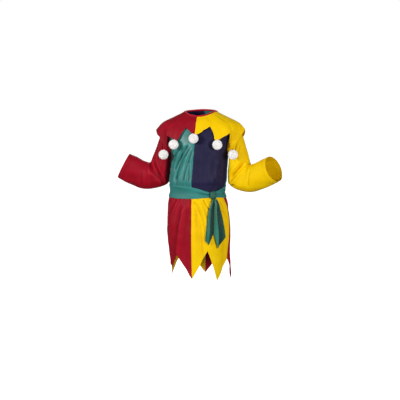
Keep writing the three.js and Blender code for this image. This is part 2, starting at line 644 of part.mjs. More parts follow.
// One lock, a three-sided club along +Z that widens from its root to a blunt end.
function yarnLock() {
  const ring = (half, height) =>
    [0, 1, 2].map((k) => {
      const turn = (k / 3) * 2 * Math.PI;
      return new THREE.Vector3(half * Math.cos(turn), half * Math.sin(turn), height);
    });
  const points = [
    ...ring(POMPOM.lock_root, POMPOM.core * 0.6),
    ...ring(POMPOM.lock_width, POMPOM.lock_shoulder),
    new THREE.Vector3(0, 0, POMPOM.radius),
  ];
  const faces = [0, 2, 1];
  for (let k = 0; k < 3; k += 1) {
    const next = (k + 1) % 3;
    faces.push(k, next, next + 3, k, next + 3, k + 3, k + 3, next + 3, 6);
  }
  return facingOut(points, faces);
}

// Directions spread evenly over a ball, for its locks.
const lockDirections = Array.from({ length: POMPOM.locks }, (_, i) => {
  const goldenTurn = Math.PI * (3 - Math.sqrt(5)) * i;
  const height = 1 - (2 * i + 1) / POMPOM.locks;
  const spread = Math.sqrt(1 - height * height);
  return new THREE.Vector3(Math.cos(goldenTurn) * spread, Math.sin(goldenTurn) * spread, height);
});

function pompom() {
  let ball = solidFrom(merged(new THREE.IcosahedronGeometry(POMPOM.core, 0)));
  for (const direction of lockDirections) {
    const lock = yarnLock();
    lock.applyQuaternion(new THREE.Quaternion().setFromUnitVectors(new THREE.Vector3(0, 0, 1), direction));
    ball = ball.add(solidFrom(merged(lock)));
  }
  const { vertProperties, triVerts } = ball.getMesh();
  const geometry = new THREE.BufferGeometry();
  geometry.setAttribute("position", new THREE.BufferAttribute(Float32Array.from(vertProperties), 3));
  geometry.setIndex(new THREE.BufferAttribute(Uint32Array.from(triVerts), 1));
  geometry.computeVertexNormals();
  return geometry;
}

// Each pompom hangs outside and below its point of the collar, with its first lock's end at that point.
const pompomGeometry = pompom();
for (const { angle, pompom: place } of COLLAR_EDGE.filter((row) => row.pompom)) {
  addPiece(`pompom_${place}`, pompomGeometry, CLOTHS.white_yarn);
  const ball = dress.getObjectByName(`pompom_${place}`);
  const tip = collarPoint(angle, 1);
  const bodyMiddle = leanWithHips(new THREE.Vector3(0, 0, tip.z));
  const hang = tip.clone().sub(bodyMiddle).setLength(POMPOM_HANG.out);
  hang.setZ(-POMPOM_HANG.down).normalize();
  ball.position.copy(tip).addScaledVector(hang, POMPOM.radius + POMPOM_HANG.clear);
  ball.quaternion.setFromUnitVectors(lockDirections[0], hang.negate());
}

export default dress;
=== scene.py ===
# %% [markdown]
# # A child's jester dress with its own sash
#
# The dress is pieced from plain costume cloth: matt polyester in red, yellow and navy, and a green
# satin. It keeps the form that a wearer gives it, with nobody inside. Every piece that a maker would
# cut is a sheet of its own here, placed by the same tables as the solid model and then given creases,
# hems and stitching. The tables are in millimetres, because a maker thinks in them, and each mesh is
# turned to metres at the end.

# %% Load the solid model
import math

import bpy
import numpy as np
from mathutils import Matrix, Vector


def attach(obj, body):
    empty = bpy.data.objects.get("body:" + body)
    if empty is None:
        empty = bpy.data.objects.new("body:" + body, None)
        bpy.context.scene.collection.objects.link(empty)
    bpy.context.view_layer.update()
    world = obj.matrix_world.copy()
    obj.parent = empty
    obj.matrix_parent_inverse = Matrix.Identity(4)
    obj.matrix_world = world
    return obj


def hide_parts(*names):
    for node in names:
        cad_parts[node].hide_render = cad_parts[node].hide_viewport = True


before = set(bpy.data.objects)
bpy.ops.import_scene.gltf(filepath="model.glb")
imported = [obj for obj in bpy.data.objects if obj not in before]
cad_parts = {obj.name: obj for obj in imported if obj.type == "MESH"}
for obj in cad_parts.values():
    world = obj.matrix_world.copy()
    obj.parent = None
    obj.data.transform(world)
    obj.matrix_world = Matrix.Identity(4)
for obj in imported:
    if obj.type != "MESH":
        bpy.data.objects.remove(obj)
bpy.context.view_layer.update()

MM = 0.001
random = np.random.default_rng(2024)

# %% [markdown]
# ## The camera
#
# The photograph was taken from a little to the wearer's left and from about the height of the
# shoulders, with a long lens from some four metres away. The camera comes first, so that every later
# look is judged from there.

# %% Place the camera
CAMERA_TURN = math.radians(16)
CAMERA_DISTANCE = 4.0
CAMERA_HEIGHT = 0.08
LOOKED_AT = Vector((0, 0, -0.369))
LENS = 87.3

camera_data = bpy.data.cameras.new("camera")
camera_data.lens = LENS
camera_data.sensor_width = 36
camera = bpy.data.objects.new("camera", camera_data)
bpy.context.scene.collection.objects.link(camera)
camera.location = (
    CAMERA_DISTANCE * math.sin(CAMERA_TURN),
    -CAMERA_DISTANCE * math.cos(CAMERA_TURN),
    CAMERA_HEIGHT,
)
camera.rotation_euler = (LOOKED_AT - camera.location).to_track_quat("-Z", "Y").to_euler()
bpy.context.scene.camera = camera
print("camera at", tuple(round(value, 3) for value in camera.location))

# %% [markdown]
# ## The form of the dress
#
# The body of the dress is a stack of oval sections. The wearer faces -Y, angles go round from the
# front, 90 is the wearer's left, and levels are heights in millimetres below the neck opening.

# %% Tables of the body's form
SEAM_GAP = 0.3
NECK_EDGE_LEVEL = -5
WAIST_LEVEL = -330
BODY_SQUARENESS = 2.2
BODY_RADIUS = 110
SEWN_GAP = 0.06
SEAM_ANGLE = math.degrees(SEWN_GAP / 2 / BODY_RADIUS)
ARMHOLE = {"level": -118, "half_height": 59, "half_angle": 21}

# level, half width, front, back, how far the front and the back hang below the side
BODY_SECTIONS = np.array([
    (0, 60, 52, 50, 18, -6),
    (-25, 100, 71, 68, 28, 8),
    (-58, 146, 87, 85, 37, 24),
    (-118, 134, 95, 92, 16, 12),
    (-178, 120, 97, 92, 0, 0),
    (-235, 117, 95, 90, 0, 0),
    (-285, 119, 97, 91, 0, 0),
    (-303, 116, 92, 88, 0, 0),
    (-330, 112, 88, 84, 0, 0),
    (-356, 118, 92, 89, 0, 0),
    (-390, 127, 98, 96, 0, 0),
    (-495, 135, 104, 102, 0, 0),
    (-590, 129, 102, 101, 0, 0),
    (-710, 120, 96, 98, 0, 0),
], dtype=float)

# level, sideways shift: the hips rest a little to the wearer's right of the shoulders
LEAN = np.array([(20, 4), (-130, 4), (-310, -10), (-420, -8), (-720, -6)], dtype=float)

# from level, from angle, to level, to angle, rise, width, whether it runs out over the hem
BODY_FOLDS = [
    (-120, -12, -262, -50, -5, 9, False),
    (-140, -22, -300, -36, -4, 8, False),
    (-150, -38, -295, -66, -4, 9, False),
    (-180, -12, -305, -20, 3, 10, False),
    (-190, 52, -305, 44, 4, 11, False),
    (-160, 26, -300, 20, -3, 12, False),
    (-150, 128, -305, 142, -4, 12, False),
    (-150, -132, -305, -148, -4, 12, False),
    (-170, 166, -305, 170, 4, 12, False),
    (-360, -29, -600, -58, 5, 13, True),
    (-360, -18, -620, -38, -6, 12, True),
    (-360, -9, -600, -25, 5, 12, True),
    (-370, -3, -640, -9, -4, 9, True),
    (-360, 3, -660, 4, 4, 10, True),
    (-360, 5, -600, 21, -6, 12, True),
    (-360, 13, -560, 33, 4, 12, False),
    (-360, 64, -620, 70, -5, 14, True),
    (-360, 82, -600, 88, 4, 13, True),
    (-360, -72, -600, -80, -5, 13, True),
    (-360, 104, -680, 108, -6, 14, True),
    (-360, 124, -680, 130, 5, 13, True),
    (-360, 146, -600, 150, -6, 14, True),
    (-360, 168, -680, 172, 5, 13, True),
    (-360, -102, -680, -106, -5, 13, True),
    (-360, -122, -680, -130, 6, 14, True),
    (-360, -142, -600, -149, -6, 13, True),
    (-360, -166, -680, -168, 5, 13, True),
]
print(len(BODY_SECTIONS), "sections,", len(BODY_FOLDS), "large folds")

# %% Read the tables on smooth curves
def read_smooth(keys, values, at):
    """The values between two keys, on a smooth curve through all of them."""
    keys, values, at = np.asarray(keys, float), np.asarray(values, float), np.asarray(at, float)
    rising = np.sign(keys[-1] - keys[0])
    row = np.clip(np.searchsorted(rising * keys, rising * at) - 1, 0, len(keys) - 2)
    before = np.clip(row - 1, 0, None)
    after = np.clip(row + 2, None, len(keys) - 1)

    def spread(numbers):
        return numbers.reshape(at.shape + (1,) * (values.ndim - 1))

    span = keys[row + 1] - keys[row]
    t = spread((at - keys[row]) / span)
    slope_in = (values[row + 1] - values[before]) * spread(span / (keys[row + 1] - keys[before]))
    slope_out = (values[after] - values[row]) * spread(span / (keys[after] - keys[row]))
    between = (2 * t**3 - 3 * t**2 + 1) * values[row] + (3 * t**2 - 2 * t**3) * values[row + 1]
    return between + (t**3 - 2 * t**2 + t) * slope_in + (t**3 - t**2) * slope_out


def smoothstep(value, low, high):
    t = np.clip((value - low) / (high - low), 0, 1)
    return t * t * (3 - 2 * t)


def lerp(a, b, t):
    return a + (b - a) * t


def turn_between(a, b):
    return (a - b + 540) % 360 - 180


def bell(away, width):
    """1 in the middle of a ridge, and fading to nothing on both sides of it."""
    return np.exp(-((away / width) ** 2))


def unit(vectors):
    return vectors / np.linalg.norm(vectors, axis=-1, keepdims=True)


print("bell in the middle and one width away:", bell(0, 5), bell(5, 5).round(2))

# %% Points on the body
def section_point(level, angle):
    """A point on the plain oval body, at a level and an angle."""
    level, angle = np.broadcast_arrays(np.asarray(level, float), np.asarray(angle, float))
    sizes = read_smooth(BODY_SECTIONS[:, 0], BODY_SECTIONS[:, 1:], level)
    half_width, front, back, front_drop, back_drop = np.moveaxis(sizes, -1, 0)
    sine, cosine = np.sin(np.radians(angle)), np.cos(np.radians(angle))
    power = 2 / BODY_SQUARENESS
    depth = np.where(cosine > 0, front, back)
    drop = np.where(cosine > 0, front_drop, back_drop)
    return np.stack([
        half_width * np.sign(sine) * np.abs(sine) ** power,
        -depth * np.sign(cosine) * np.abs(cosine) ** power,
        level - drop * cosine**2,
    ], axis=-1)


def move_outward(point, by):
    reach = np.hypot(point[..., 0], point[..., 1])
    moved = point.copy()
    moved[..., 0] *= 1 + by / reach
    moved[..., 1] *= 1 + by / reach
    return moved


def lean_with_hips(point):
    moved = point.copy()
    moved[..., 0] += read_smooth(LEAN[:, 0], LEAN[:, 1], moved[..., 2])
    return moved


def fold_rise(folds, level, angle):
    """How far a set of folds lifts or sinks the cloth at a level and an angle."""
    rise = np.zeros(np.broadcast(level, angle).shape)
    for start, start_angle, end, end_angle, height, width, runs_out in folds:
        t = (level - start) / (end - start)
        fade = smoothstep(t, 0, 0.2) * (1 if runs_out else 1 - smoothstep(t, 0.75, 1))
        middle = lerp(start_angle, end_angle, np.minimum(t, 1.2))
        away = np.radians(turn_between(angle, middle)) * BODY_RADIUS
        rise = rise + fade * height * bell(away, width)
    return rise


def upright_point(level, angle, out=0.0):
    return move_outward(section_point(level, angle), out + fold_rise(BODY_FOLDS, level, angle))


def body_point(level, angle, out=0.0):
    return lean_with_hips(upright_point(level, angle, out))


def direction_out(face, across, down, down_step=1e-3):
    """The direction straight out of a face, where across runs to the wearer's left and down to the hem."""
    small = 1e-3
    along_across = face(across + small, down) - face(across - small, down)
    along_down = face(across, down + down_step) - face(across, down - down_step)
    return unit(np.cross(along_down, along_across))


print("waist, front:", body_point(-330.0, 0.0).round(1))

# %% [markdown]
# ## Small creases
#
# The large folds are in the solids already. Real cloth also has small ones: puckers where the sash
# draws it in, creases that pull from one place to another, and a slight unevenness all over. Each is a
# soft ridge or trough, and the unevenness is a sum of a few long waves.

# %% Curved creases of the bodice and skirt
# rise, width, then level and angle of the points that each crease runs through
BODY_CREASES = [
    (-4.6, 3.2, [(-113, -8), (-165, -20), (-223, -40), (-278, -44)]),
    (-4.2, 3.0, [(-125, -3), (-180, -16), (-222, -30), (-264, -35), (-304, -34)]),
    (-3.8, 3.0, [(-144, -1), (-221, -10), (-257, -14), (-296, -16)]),
    (-4.2, 3.4, [(-123, -22), (-167, -39), (-193, -56)]),
    (-3.6, 3.4, [(-219, -86), (-250, -72), (-280, -58)]),
    (-3.0, 3.0, [(-198, -6), (-245, -6), (-298, -4)]),
    (1.8, 5.0, [(-118, -14), (-172, -29), (-226, -48), (-290, -52)]),
    (1.8, 5.0, [(-130, -6), (-200, -24), (-262, -41), (-304, -40)]),
    (1.8, 5.0, [(-150, -4), (-215, -17), (-260, -24), (-304, -25)]),
    (1.5, 5.0, [(-165, 0), (-240, -9), (-304, -10)]),
    (-2.2, 4.2, [(-197, 39), (-257, 42), (-304, 51)]),
    (-2.0, 4.2, [(-240, 69), (-285, 64), (-306, 57)]),
    (-1.8, 4.5, [(-149, 15), (-236, 18), (-297, 18)]),
    (1.6, 6.0, [(-170, 28), (-240, 30), (-304, 34)]),
    (1.8, 6.0, [(-190, 56), (-250, 55), (-304, 54)]),
    (-2.8, 4.4, [(-354, -35), (-378, -38), (-425, -49), (-496, -52)]),
    (3.6, 5.6, [(-385, -15), (-430, -18), (-480, -21), (-540, -26), (-635, -28)]),
    (3.2, 3.2, [(-354, -26), (-383, -30), (-433, -41), (-470, -45)]),
    (-2.2, 5.0, [(-354, -7), (-388, -8), (-449, -9), (-524, -12), (-599, -14)]),
    (2.4, 4.6, [(-354, -18), (-390, -24), (-450, -31), (-530, -38)]),
    (2.6, 5.0, [(-354, -50), (-430, -52), (-520, -58)]),
    (-3.6, 3.6, [(-354, -60), (-420, -62), (-480, -66)]),
    (-2.4, 4.6, [(-361, 4), (-407, 7), (-480, 8)]),
    (-4.2, 3.4, [(-354, 21), (-385, 29), (-410, 38)]),
    (-3.8, 4.4, [(-358, 5), (-400, 12), (-445, 19), (-521, 24)]),
    (3.2, 4.6, [(-356, 12), (-400, 19), (-450, 25), (-510, 28)]),
    (-2.0, 4.8, [(-430, 14), (-500, 17), (-590, 19)]),
    (-4.0, 3.6, [(-360, 62), (-395, 71), (-444, 74)]),
    (-3.8, 3.6, [(-400, 64), (-420, 76), (-450, 80)]),
    (2.8, 4.6, [(-358, 54), (-400, 60), (-460, 64)]),
    (-4.0, 3.6, [(-125, 112), (-190, 122), (-260, 138), (-304, 142)]),
    (-3.8, 3.4, [(-140, 150), (-210, 152), (-304, 158)]),
    (1.8, 5.0, [(-130, 130), (-210, 138), (-300, 150)]),
    (-3.8, 3.6, [(-135, -116), (-200, -126), (-304, -140)]),
    (-3.6, 3.4, [(-150, -150), (-230, -154), (-304, -164)]),
    (1.8, 5.0, [(-140, -132), (-220, -142), (-304, -152)]),
    (-4.0, 3.6, [(-354, 112), (-420, 116), (-520, 122)]),
    (-4.2, 3.6, [(-354, 140), (-430, 144), (-540, 147)]),
    (3.0, 4.6, [(-354, 126), (-430, 130), (-520, 136)]),
    (-4.0, 3.6, [(-354, 166), (-440, 164), (-560, 162)]),
    (-4.0, 3.6, [(-354, -112), (-420, -116), (-520, -120)]),
    (-4.2, 3.6, [(-354, -138), (-430, -143), (-540, -146)]),
    (3.0, 4.6, [(-354, -150), (-430, -154), (-560, -158)]),
]
print(len(BODY_CREASES), "curved creases")

# %% How creases and puckers lift the cloth
def crease_line(points, pieces=18):
    """A smooth line through the points of a crease."""
    points = np.array(points, dtype=float)
    return read_smooth(np.arange(len(points)), points, np.linspace(0, len(points) - 1, pieces + 1))


def crease_rise(creases, level, angle):
    """How far curved creases lift or sink the cloth, by the distance from each crease's line."""
    level, angle = np.broadcast_arrays(np.asarray(level, float), np.asarray(angle, float))
    rise = np.zeros(level.shape)
    for height, width, points in creases:
        line = crease_line(points)
        centre = line[:, 1].mean()
        x = np.radians(turn_between(angle, centre)) * BODY_RADIUS
        line_x = np.radians(line[:, 1] - centre) * BODY_RADIUS
        nearest, place = np.full(level.shape, 1e6), np.zeros(level.shape)
        for i in range(len(line) - 1):
            step_x, step_y = line_x[i + 1] - line_x[i], line[i + 1, 0] - line[i, 0]
            t = ((x - line_x[i]) * step_x + (level - line[i, 0]) * step_y) / (step_x**2 + step_y**2)
            t = np.clip(t, 0, 1)
            away = np.hypot(x - line_x[i] - t * step_x, level - line[i, 0] - t * step_y)
            place = np.where(away < nearest, (i + t) / (len(line) - 1), place)
            nearest = np.minimum(away, nearest)
        fade = smoothstep(place, 0, 0.15) * (1 - smoothstep(place, 0.75, 1))
        rise = rise + height * fade * np.exp(-((nearest / width) ** 1.6))
    return rise


def puckers(count, level, reach, height):
    """Short folds that start at a drawn-in line, spread unevenly all round the body."""
    rows = []
    for i in range(count):
        angle = -180 + 360 * (i + random.uniform(0.1, 0.9)) / count
        length = reach * random.uniform(0.5, 1.1)
        drift = random.uniform(-3, 3)
        rise = height * random.uniform(0.5, 1.0) * random.choice([-1, 1])
        rows.append((level + length, angle + drift, level, angle, rise, random.uniform(3.5, 6.5), True))
    return rows


ABOVE_SASH = puckers(38, -306, 70, 1.7)
BELOW_SASH = puckers(42, -352, -105, 1.9)
print(len(BODY_CREASES) + len(ABOVE_SASH) + len(BELOW_SASH), "small creases")

# %% Slight unevenness
WAVE_COUNT = 14
UNEVEN_RISE = {"body": 0.9, "sleeve": 1.1, "collar": 0.8}
wave_directions = unit(random.normal(size=(WAVE_COUNT, 3)))
wave_lengths = random.uniform(28, 95, WAVE_COUNT)
wave_starts = random.uniform(0, 2 * math.pi, WAVE_COUNT)


def unevenness(point):
    """From about -1 to 1, the same for two pieces that touch."""
    total = np.zeros(point.shape[:-1])
    for direction, length, start in zip(wave_directions, wave_lengths, wave_starts):
        total += np.sin(point @ direction * 2 * math.pi / length + start)
    return total / math.sqrt(WAVE_COUNT * 2)


def above_sash(level, angle):
    return fold_rise(ABOVE_SASH, level, angle) * smoothstep(level, -325, -310)


def below_sash(level, angle):
    """The puckers under the sash fade out downwards, so they are read from the sash down."""
    rise = np.zeros(np.broadcast(level, angle).shape)
    for start, start_angle, end, end_angle, height, width, _ in BELOW_SASH:
        t = (end - level) / (end - start)
        middle = lerp(end_angle, start_angle, t)
        away = np.radians(turn_between(angle, middle)) * BODY_RADIUS
        fade = (1 - smoothstep(t, 0.1, 1)) * smoothstep(-level, -WAIST_LEVEL + 12, -WAIST_LEVEL + 30)
        rise = rise + fade * height * bell(away, width)
    return rise


def creased_body_point(level, angle, out=0.0):
    """The dress's outer face with all its creases."""
    upright = section_point(level, angle)
    small = crease_rise(BODY_CREASES, level, angle) + above_sash(level, angle) + below_sash(level, angle)
    # the cloth is drawn smooth at the waist and under the collar
    calm = smoothstep(np.abs(level - WAIST_LEVEL), 8, 60) * smoothstep(-level, 30, 110)
    rise = fold_rise(BODY_FOLDS, level, angle) + small + UNEVEN_RISE["body"] * calm * unevenness(upright)
    return lean_with_hips(move_outward(upright, out + rise))


print("creased front at -450:", creased_body_point(-450.0, 0.0).round(1))

# %% [markdown]
# ## Turning a grid of points into cloth
#
# A sheet starts as a grid of points on its outer face. It becomes a mesh with a UV map in metres, so a
# weave has its real size on every piece, and a Solidify modifier gives it the thickness of the cloth.

# %% Make and change a mesh
def select_only(piece):
    bpy.ops.object.select_all(action="DESELECT")
    piece.select_set(True)
    bpy.context.view_layer.objects.active = piece


def new_piece(name, points, faces):
    """A mesh object from points in millimetres."""
    mesh = bpy.data.meshes.new(name)
    mesh.from_pydata((np.asarray(points) * MM).tolist(), [], [list(face) for face in faces])
    piece = bpy.data.objects.new(name, mesh)
    bpy.context.scene.collection.objects.link(piece)
    return piece


def new_primitive(add, **settings):
    """One of Blender's own simple shapes, as the only selected object."""
    bpy.ops.object.select_all(action="DESELECT")
    add(**settings)
    return bpy.context.object


def take_shape(piece):
    """The points and faces of a shape that is only made to be copied."""
    points = np.array([vertex.co for vertex in piece.data.vertices])
    faces = [list(face.vertices) for face in piece.data.polygons]
    bpy.data.objects.remove(piece)
    return points, faces


def copied_faces(points, faces, count):
    """The faces of several copies of a shape, whose points follow one another."""
    return [[v + i * len(points) for v in face] for i in range(count) for face in faces]


def apply_modifier(piece, kind, **settings):
    modifier = piece.modifiers.new(kind.lower(), kind)
    for name, value in settings.items():
        setattr(modifier, name, value)
    select_only(piece)
    bpy.ops.object.modifier_apply(modifier=modifier.name)


print("faces of two copies of a triangle:", copied_faces([0, 1, 2], [[0, 1, 2]], 2))

# %% Lengths, area and directions of a grid
def closed_round(grid, is_tube=True):
    """A tube's grid with its first column again after the last, and any other grid as it is."""
    return np.concatenate([grid, grid[:, :1]], axis=1) if is_tube else grid


def steps_along(grid, axis):
    """The running length along one axis of a grid of points, averaged over the other."""
    lengths = np.linalg.norm(np.diff(grid, axis=axis), axis=-1).mean(axis=1 - axis)
    return np.concatenate([[0], np.cumsum(lengths)])


def cloth_area(grid, is_tube):
    """The area in square metres of a grid of points in millimetres."""
    wrapped = closed_round(grid, is_tube)
    one = wrapped[1:, 1:] - wrapped[:-1, :-1]
    other = wrapped[1:, :-1] - wrapped[:-1, 1:]
    return np.linalg.norm(np.cross(one, other), axis=-1).sum() / 2 * MM * MM


def grid_normals(grid, is_tube=False):
    """The outward direction at every point of a grid."""
    if is_tube:
        wide = np.concatenate([grid[:, -1:], grid, grid[:, :1]], axis=1)
        across = wide[:, 2:] - wide[:, :-2]
    else:
        across = np.gradient(grid, axis=1)
    down = np.gradient(grid, axis=0)
    normals = np.cross(down, across)
    return normals / np.maximum(np.linalg.norm(normals, axis=-1, keepdims=True), 1e-9)


square = np.array([[(0, 0, 0), (10, 0, 0)], [(0, 0, -10), (10, 0, -10)]], dtype=float)
print("a square of 10 mm faces", grid_normals(square)[0, 0], "and has", cloth_area(square, False), "m2")

# %% A sheet with a wall
# how far round a point the cloth is averaged, and how far it then stands out on a full ridge, for the shade
# painted into folds and the highlight painted on ridges
FOLD_REACH = 7.0
FOLD_FULL = 1.3


def fold_light_and_shade(grid, is_tube):
    """0 in the bottom of a fold, a half where the cloth is even and 1 on a ridge: how much shade is painted
    into folds and how much highlight on ridges in the material.
    """
    around = grid
    for axis, wraps in ((0, False), (1, is_tube)):
        step = steps_along(grid, axis)[-1] / (grid.shape[axis] - 1)
        reach = max(2, min(round(FOLD_REACH / step), grid.shape[axis] // 3))
        margin = [(0, 0)] * 3
        margin[axis] = (reach, reach)
        how = {"mode": "wrap"} if wraps else {"mode": "reflect", "reflect_type": "odd"}
        padded = np.moveaxis(np.pad(around, margin, **how), axis, 0)
        count = grid.shape[axis]
        total = sum(padded[i:i + count] for i in range(2 * reach + 1))
        around = np.moveaxis(total / (2 * reach + 1), 0, axis)
    rise = ((grid - around) * grid_normals(grid, is_tube)).sum(axis=-1)
    return 0.5 + 0.5 * np.clip(rise / FOLD_FULL, -1, 1)


def cloth_piece(name, grid, thickness, is_tube=False):
    """A sheet with a wall: rows of the grid run down, and its columns run across to the wearer's left."""
    rows, columns = grid.shape[:2]
    last = columns if is_tube else columns - 1

    def at(row, column):
        return row * columns + column % columns

    faces = [
        (at(i, j), at(i + 1, j), at(i + 1, j + 1), at(i, j + 1))
        for i in range(rows - 1)
        for j in range(last)
    ]
    piece = new_piece(name, grid.reshape(-1, 3), faces)
    across, down = steps_along(closed_round(grid, is_tube), 1) * MM, steps_along(grid, 0) * MM
    corners = [
        (across[j + dj], -down[i + di])
        for i in range(rows - 1)
        for j in range(last)
        for di, dj in ((0, 0), (1, 0), (1, 1), (0, 1))
    ]
    uv_map = piece.data.uv_layers.new(name="cloth")
    uv_map.data.foreach_set("uv", np.array(corners).ravel())
    # the fold attribute carries the shade painted into the bottoms of folds and the highlight painted on
    # ridges
    fold = piece.data.attributes.new("fold", "FLOAT", "POINT")
    fold.data.foreach_set("value", fold_light_and_shade(grid, is_tube).ravel())
    apply_modifier(piece, "SOLIDIFY", thickness=thickness * MM, offset=-1)
    select_only(piece)
    bpy.ops.object.shade_smooth_by_angle(angle=math.radians(50))
    return piece


def even(start, end, step):
    """Even steps from start to end, each about one step long."""
    count = max(1, round(abs(end - start) / step))
    return np.linspace(start, end, count + 1)


def through(marks, step):
    """Even steps that pass through every mark."""
    parts = [even(a, b, step)[1:] for a, b in zip(marks[:-1], marks[1:])]
    return np.concatenate([[marks[0]], *parts])


print("steps of about 3 through 0, 4 and 10:", through([0, 4, 10], 3).round(2))

# %% [markdown]
# ## Cloth, yarn and thread
#
# Costume polyester is matt with a fine plain weave. Satin's long floats give it a broad soft shine.
# Each material makes its weave from two crossing sets of waves on the UV map, and its colour wanders
# slightly over the piece, as dyed cloth does. Shade is painted into the colour in the bottom of a fold,
# and a highlight is painted on a ridge.

# %% Nodes of a material
def srgb(red, green, blue):
    """A colour as seen on a screen, from 0 to 255, turned into Blender's linear values."""
    seen = np.array([red, green, blue]) / 255
    linear = np.where(seen <= 0.04045, seen / 12.92, ((seen + 0.055) / 1.055) ** 2.4)
    return (*linear.tolist(), 1.0)


def add_node(tree, kind, **inputs):
    node = tree.nodes.new(kind)
    for name, value in inputs.items():
        node.inputs[name].default_value = value
    return node


def noise_on_piece(tree, scale, detail=3.0):
    where = tree.nodes.new("ShaderNodeTexCoord")
    noise = add_node(tree, "ShaderNodeTexNoise", Scale=scale, Detail=detail)
    tree.links.new(where.outputs["Object"], noise.inputs["Vector"])
    return noise


def thread_waves(tree, pitch, direction):
    """Ridges of thread, one pitch apart, across or along the cloth."""
    # at a scale of 1 the waves repeat every 2 pi / 20
    where = tree.nodes.new("ShaderNodeUVMap")
    where.uv_map = "cloth"
    waves = add_node(tree, "ShaderNodeTexWave", Scale=2 * math.pi / (20 * pitch * MM), Distortion=0.4)
    waves.bands_direction = direction
    tree.links.new(where.outputs["UV"], waves.inputs["Vector"])
    return waves


def new_material(name):
    """A material, its nodes and its shader."""
    material = bpy.data.materials.new(name)
    material.use_nodes = True
    return material, material.node_tree, material.node_tree.nodes["Principled BSDF"]


def between_shades(tree, source, low, dark, high, light):
    """A colour that goes from dark to light as a source goes from a low value to a high one."""
    shades = tree.nodes.new("ShaderNodeValToRGB")
    for element, place, shade in zip(shades.color_ramp.elements, (low, high), (dark, light)):
        element.position = place
        element.color = shade
    tree.links.new(source.outputs["Fac"], shades.inputs["Fac"])
    return shades


def combined(tree, operation, first, second):
    both = tree.nodes.new("ShaderNodeMath")
    both.operation = operation
    tree.links.new(first, both.inputs[0])
    tree.links.new(second, both.inputs[1])
    return both.outputs["Value"]


def spanned(tree, value, low, high):
    """A value from 0 to 1 that is read as one from low to high."""
    span = add_node(tree, "ShaderNodeMapRange", **{"To Min": low, "To Max": high})
    tree.links.new(value, span.inputs["Value"])
    return span.outputs["Result"]


def multiplied(tree, colour, by):
    mix = tree.nodes.new("ShaderNodeMix")
    mix.data_type = "RGBA"
    mix.blend_type = "MULTIPLY"
    mix.inputs["Factor"].default_value = 1.0
    tree.links.new(colour, mix.inputs["A"])
    tree.links.new(by, mix.inputs["B"])
    return mix.outputs["Result"]


def emboss(tree, shader, heights, strength, distance):
    bump = add_node(tree, "ShaderNodeBump", Strength=strength, Distance=distance)
    tree.links.new(heights, bump.inputs["Height"])
    tree.links.new(bump.outputs["Normal"], shader.inputs["Normal"])


print("a strong red in linear values:", [round(value, 3) for value in srgb(190, 18, 45)])

# %% Woven cloth
def cloth_material(
    name, light, dark, pitch, roughness, relief, specular, painted_shade_in_folds, painted_shade_on_even=0.9, shine_turn=None
):
    """Woven cloth whose colour wanders between two shades, with shade painted into the bottom of its folds
    and a highlight painted on its ridges.
    """
    material, tree, shader = new_material(name)
    shader.inputs["Specular IOR Level"].default_value = specular
    if shine_turn is not None:
        shader.inputs["Anisotropic"].default_value = 0.55
        shader.inputs["Anisotropic Rotation"].default_value = shine_turn

    shades = between_shades(tree, noise_on_piece(tree, 14.0), 0.3, dark, 0.7, light)
    warp = thread_waves(tree, pitch, "X")
    weft = thread_waves(tree, pitch, "Y")
    weave = combined(tree, "MULTIPLY", warp.outputs["Fac"], weft.outputs["Fac"])
    woven = multiplied(tree, shades.outputs["Color"], spanned(tree, weave, 0.86, 1.0))

    # painted shade and highlight: the colour is multiplied down in the bottoms of folds and on even cloth,
    # and left whole on ridges, by the sheet's fold attribute
    fold = tree.nodes.new("ShaderNodeAttribute")
    fold.attribute_name = "fold"
    depth = between_shades(tree, fold, 0.0, (*painted_shade_in_folds, 1), 1.0, (1, 1, 1, 1))
    even_cloth_painted_shade = depth.color_ramp.elements.new(0.5)
    even_cloth_painted_shade.color = (painted_shade_on_even, painted_shade_on_even, painted_shade_on_even, 1)
    tree.links.new(multiplied(tree, woven, depth.outputs["Color"]), shader.inputs["Base Color"])

    gloss = spanned(tree, weave, roughness + 0.08, roughness - 0.04)
    tree.links.new(gloss, shader.inputs["Roughness"])
    crumple = noise_on_piece(tree, 90.0, 2.0)
    emboss(tree, shader, combined(tree, "ADD", weave, crumple.outputs["Fac"]), relief, 0.0004)
    return material


# each cloth's painted shade in its folds and on even cloth; its ridges keep the full colour as a painted
# highlight
CLOTHS = {
    "red": cloth_material(
        "red polyester", srgb(190, 18, 45), srgb(176, 12, 36), 0.55, 0.46, 0.2, specular=0.10,
        painted_shade_in_folds=(0.56, 0.46, 0.46), painted_shade_on_even=0.66),
    "yellow": cloth_material(
        "yellow polyester", srgb(254, 211, 0), srgb(251, 202, 0), 0.55, 0.6, 0.25, specular=0.08,
        painted_shade_in_folds=(0.78, 0.66, 0.6), painted_shade_on_even=0.95),
    "navy": cloth_material(
        "navy polyester", srgb(40, 36, 70), srgb(34, 30, 64), 0.55, 0.5, 0.25, specular=0.14,
        painted_shade_in_folds=(0.8, 0.8, 0.8)),
    "green": cloth_material(
        "green satin", srgb(54, 142, 136), srgb(46, 128, 122), 0.4, 0.4, 0.10, specular=0.45,
        shine_turn=0.25, painted_shade_in_folds=(0.38, 0.38, 0.38)),
    "sash_green": cloth_material(
        "sash satin", srgb(52, 142, 136), srgb(42, 122, 114), 0.4, 0.5, 0.10, specular=0.25,
        shine_turn=0.0, painted_shade_in_folds=(0.36, 0.36, 0.36), painted_shade_on_even=0.86),
    # the sash's own satin painted darker, with deeper painted shade in its folds, for the knot and tails
    # that hang in shade
    "sash_shaded_ends": cloth_material(
        "sash satin with painted shade", srgb(48, 128, 110), srgb(38, 112, 92), 0.4, 0.45, 0.10, specular=0.3,
        shine_turn=0.0, painted_shade_in_folds=(0.1, 0.2, 0.17), painted_shade_on_even=0.6),
}
print(", ".join(material.name for material in CLOTHS.values()))

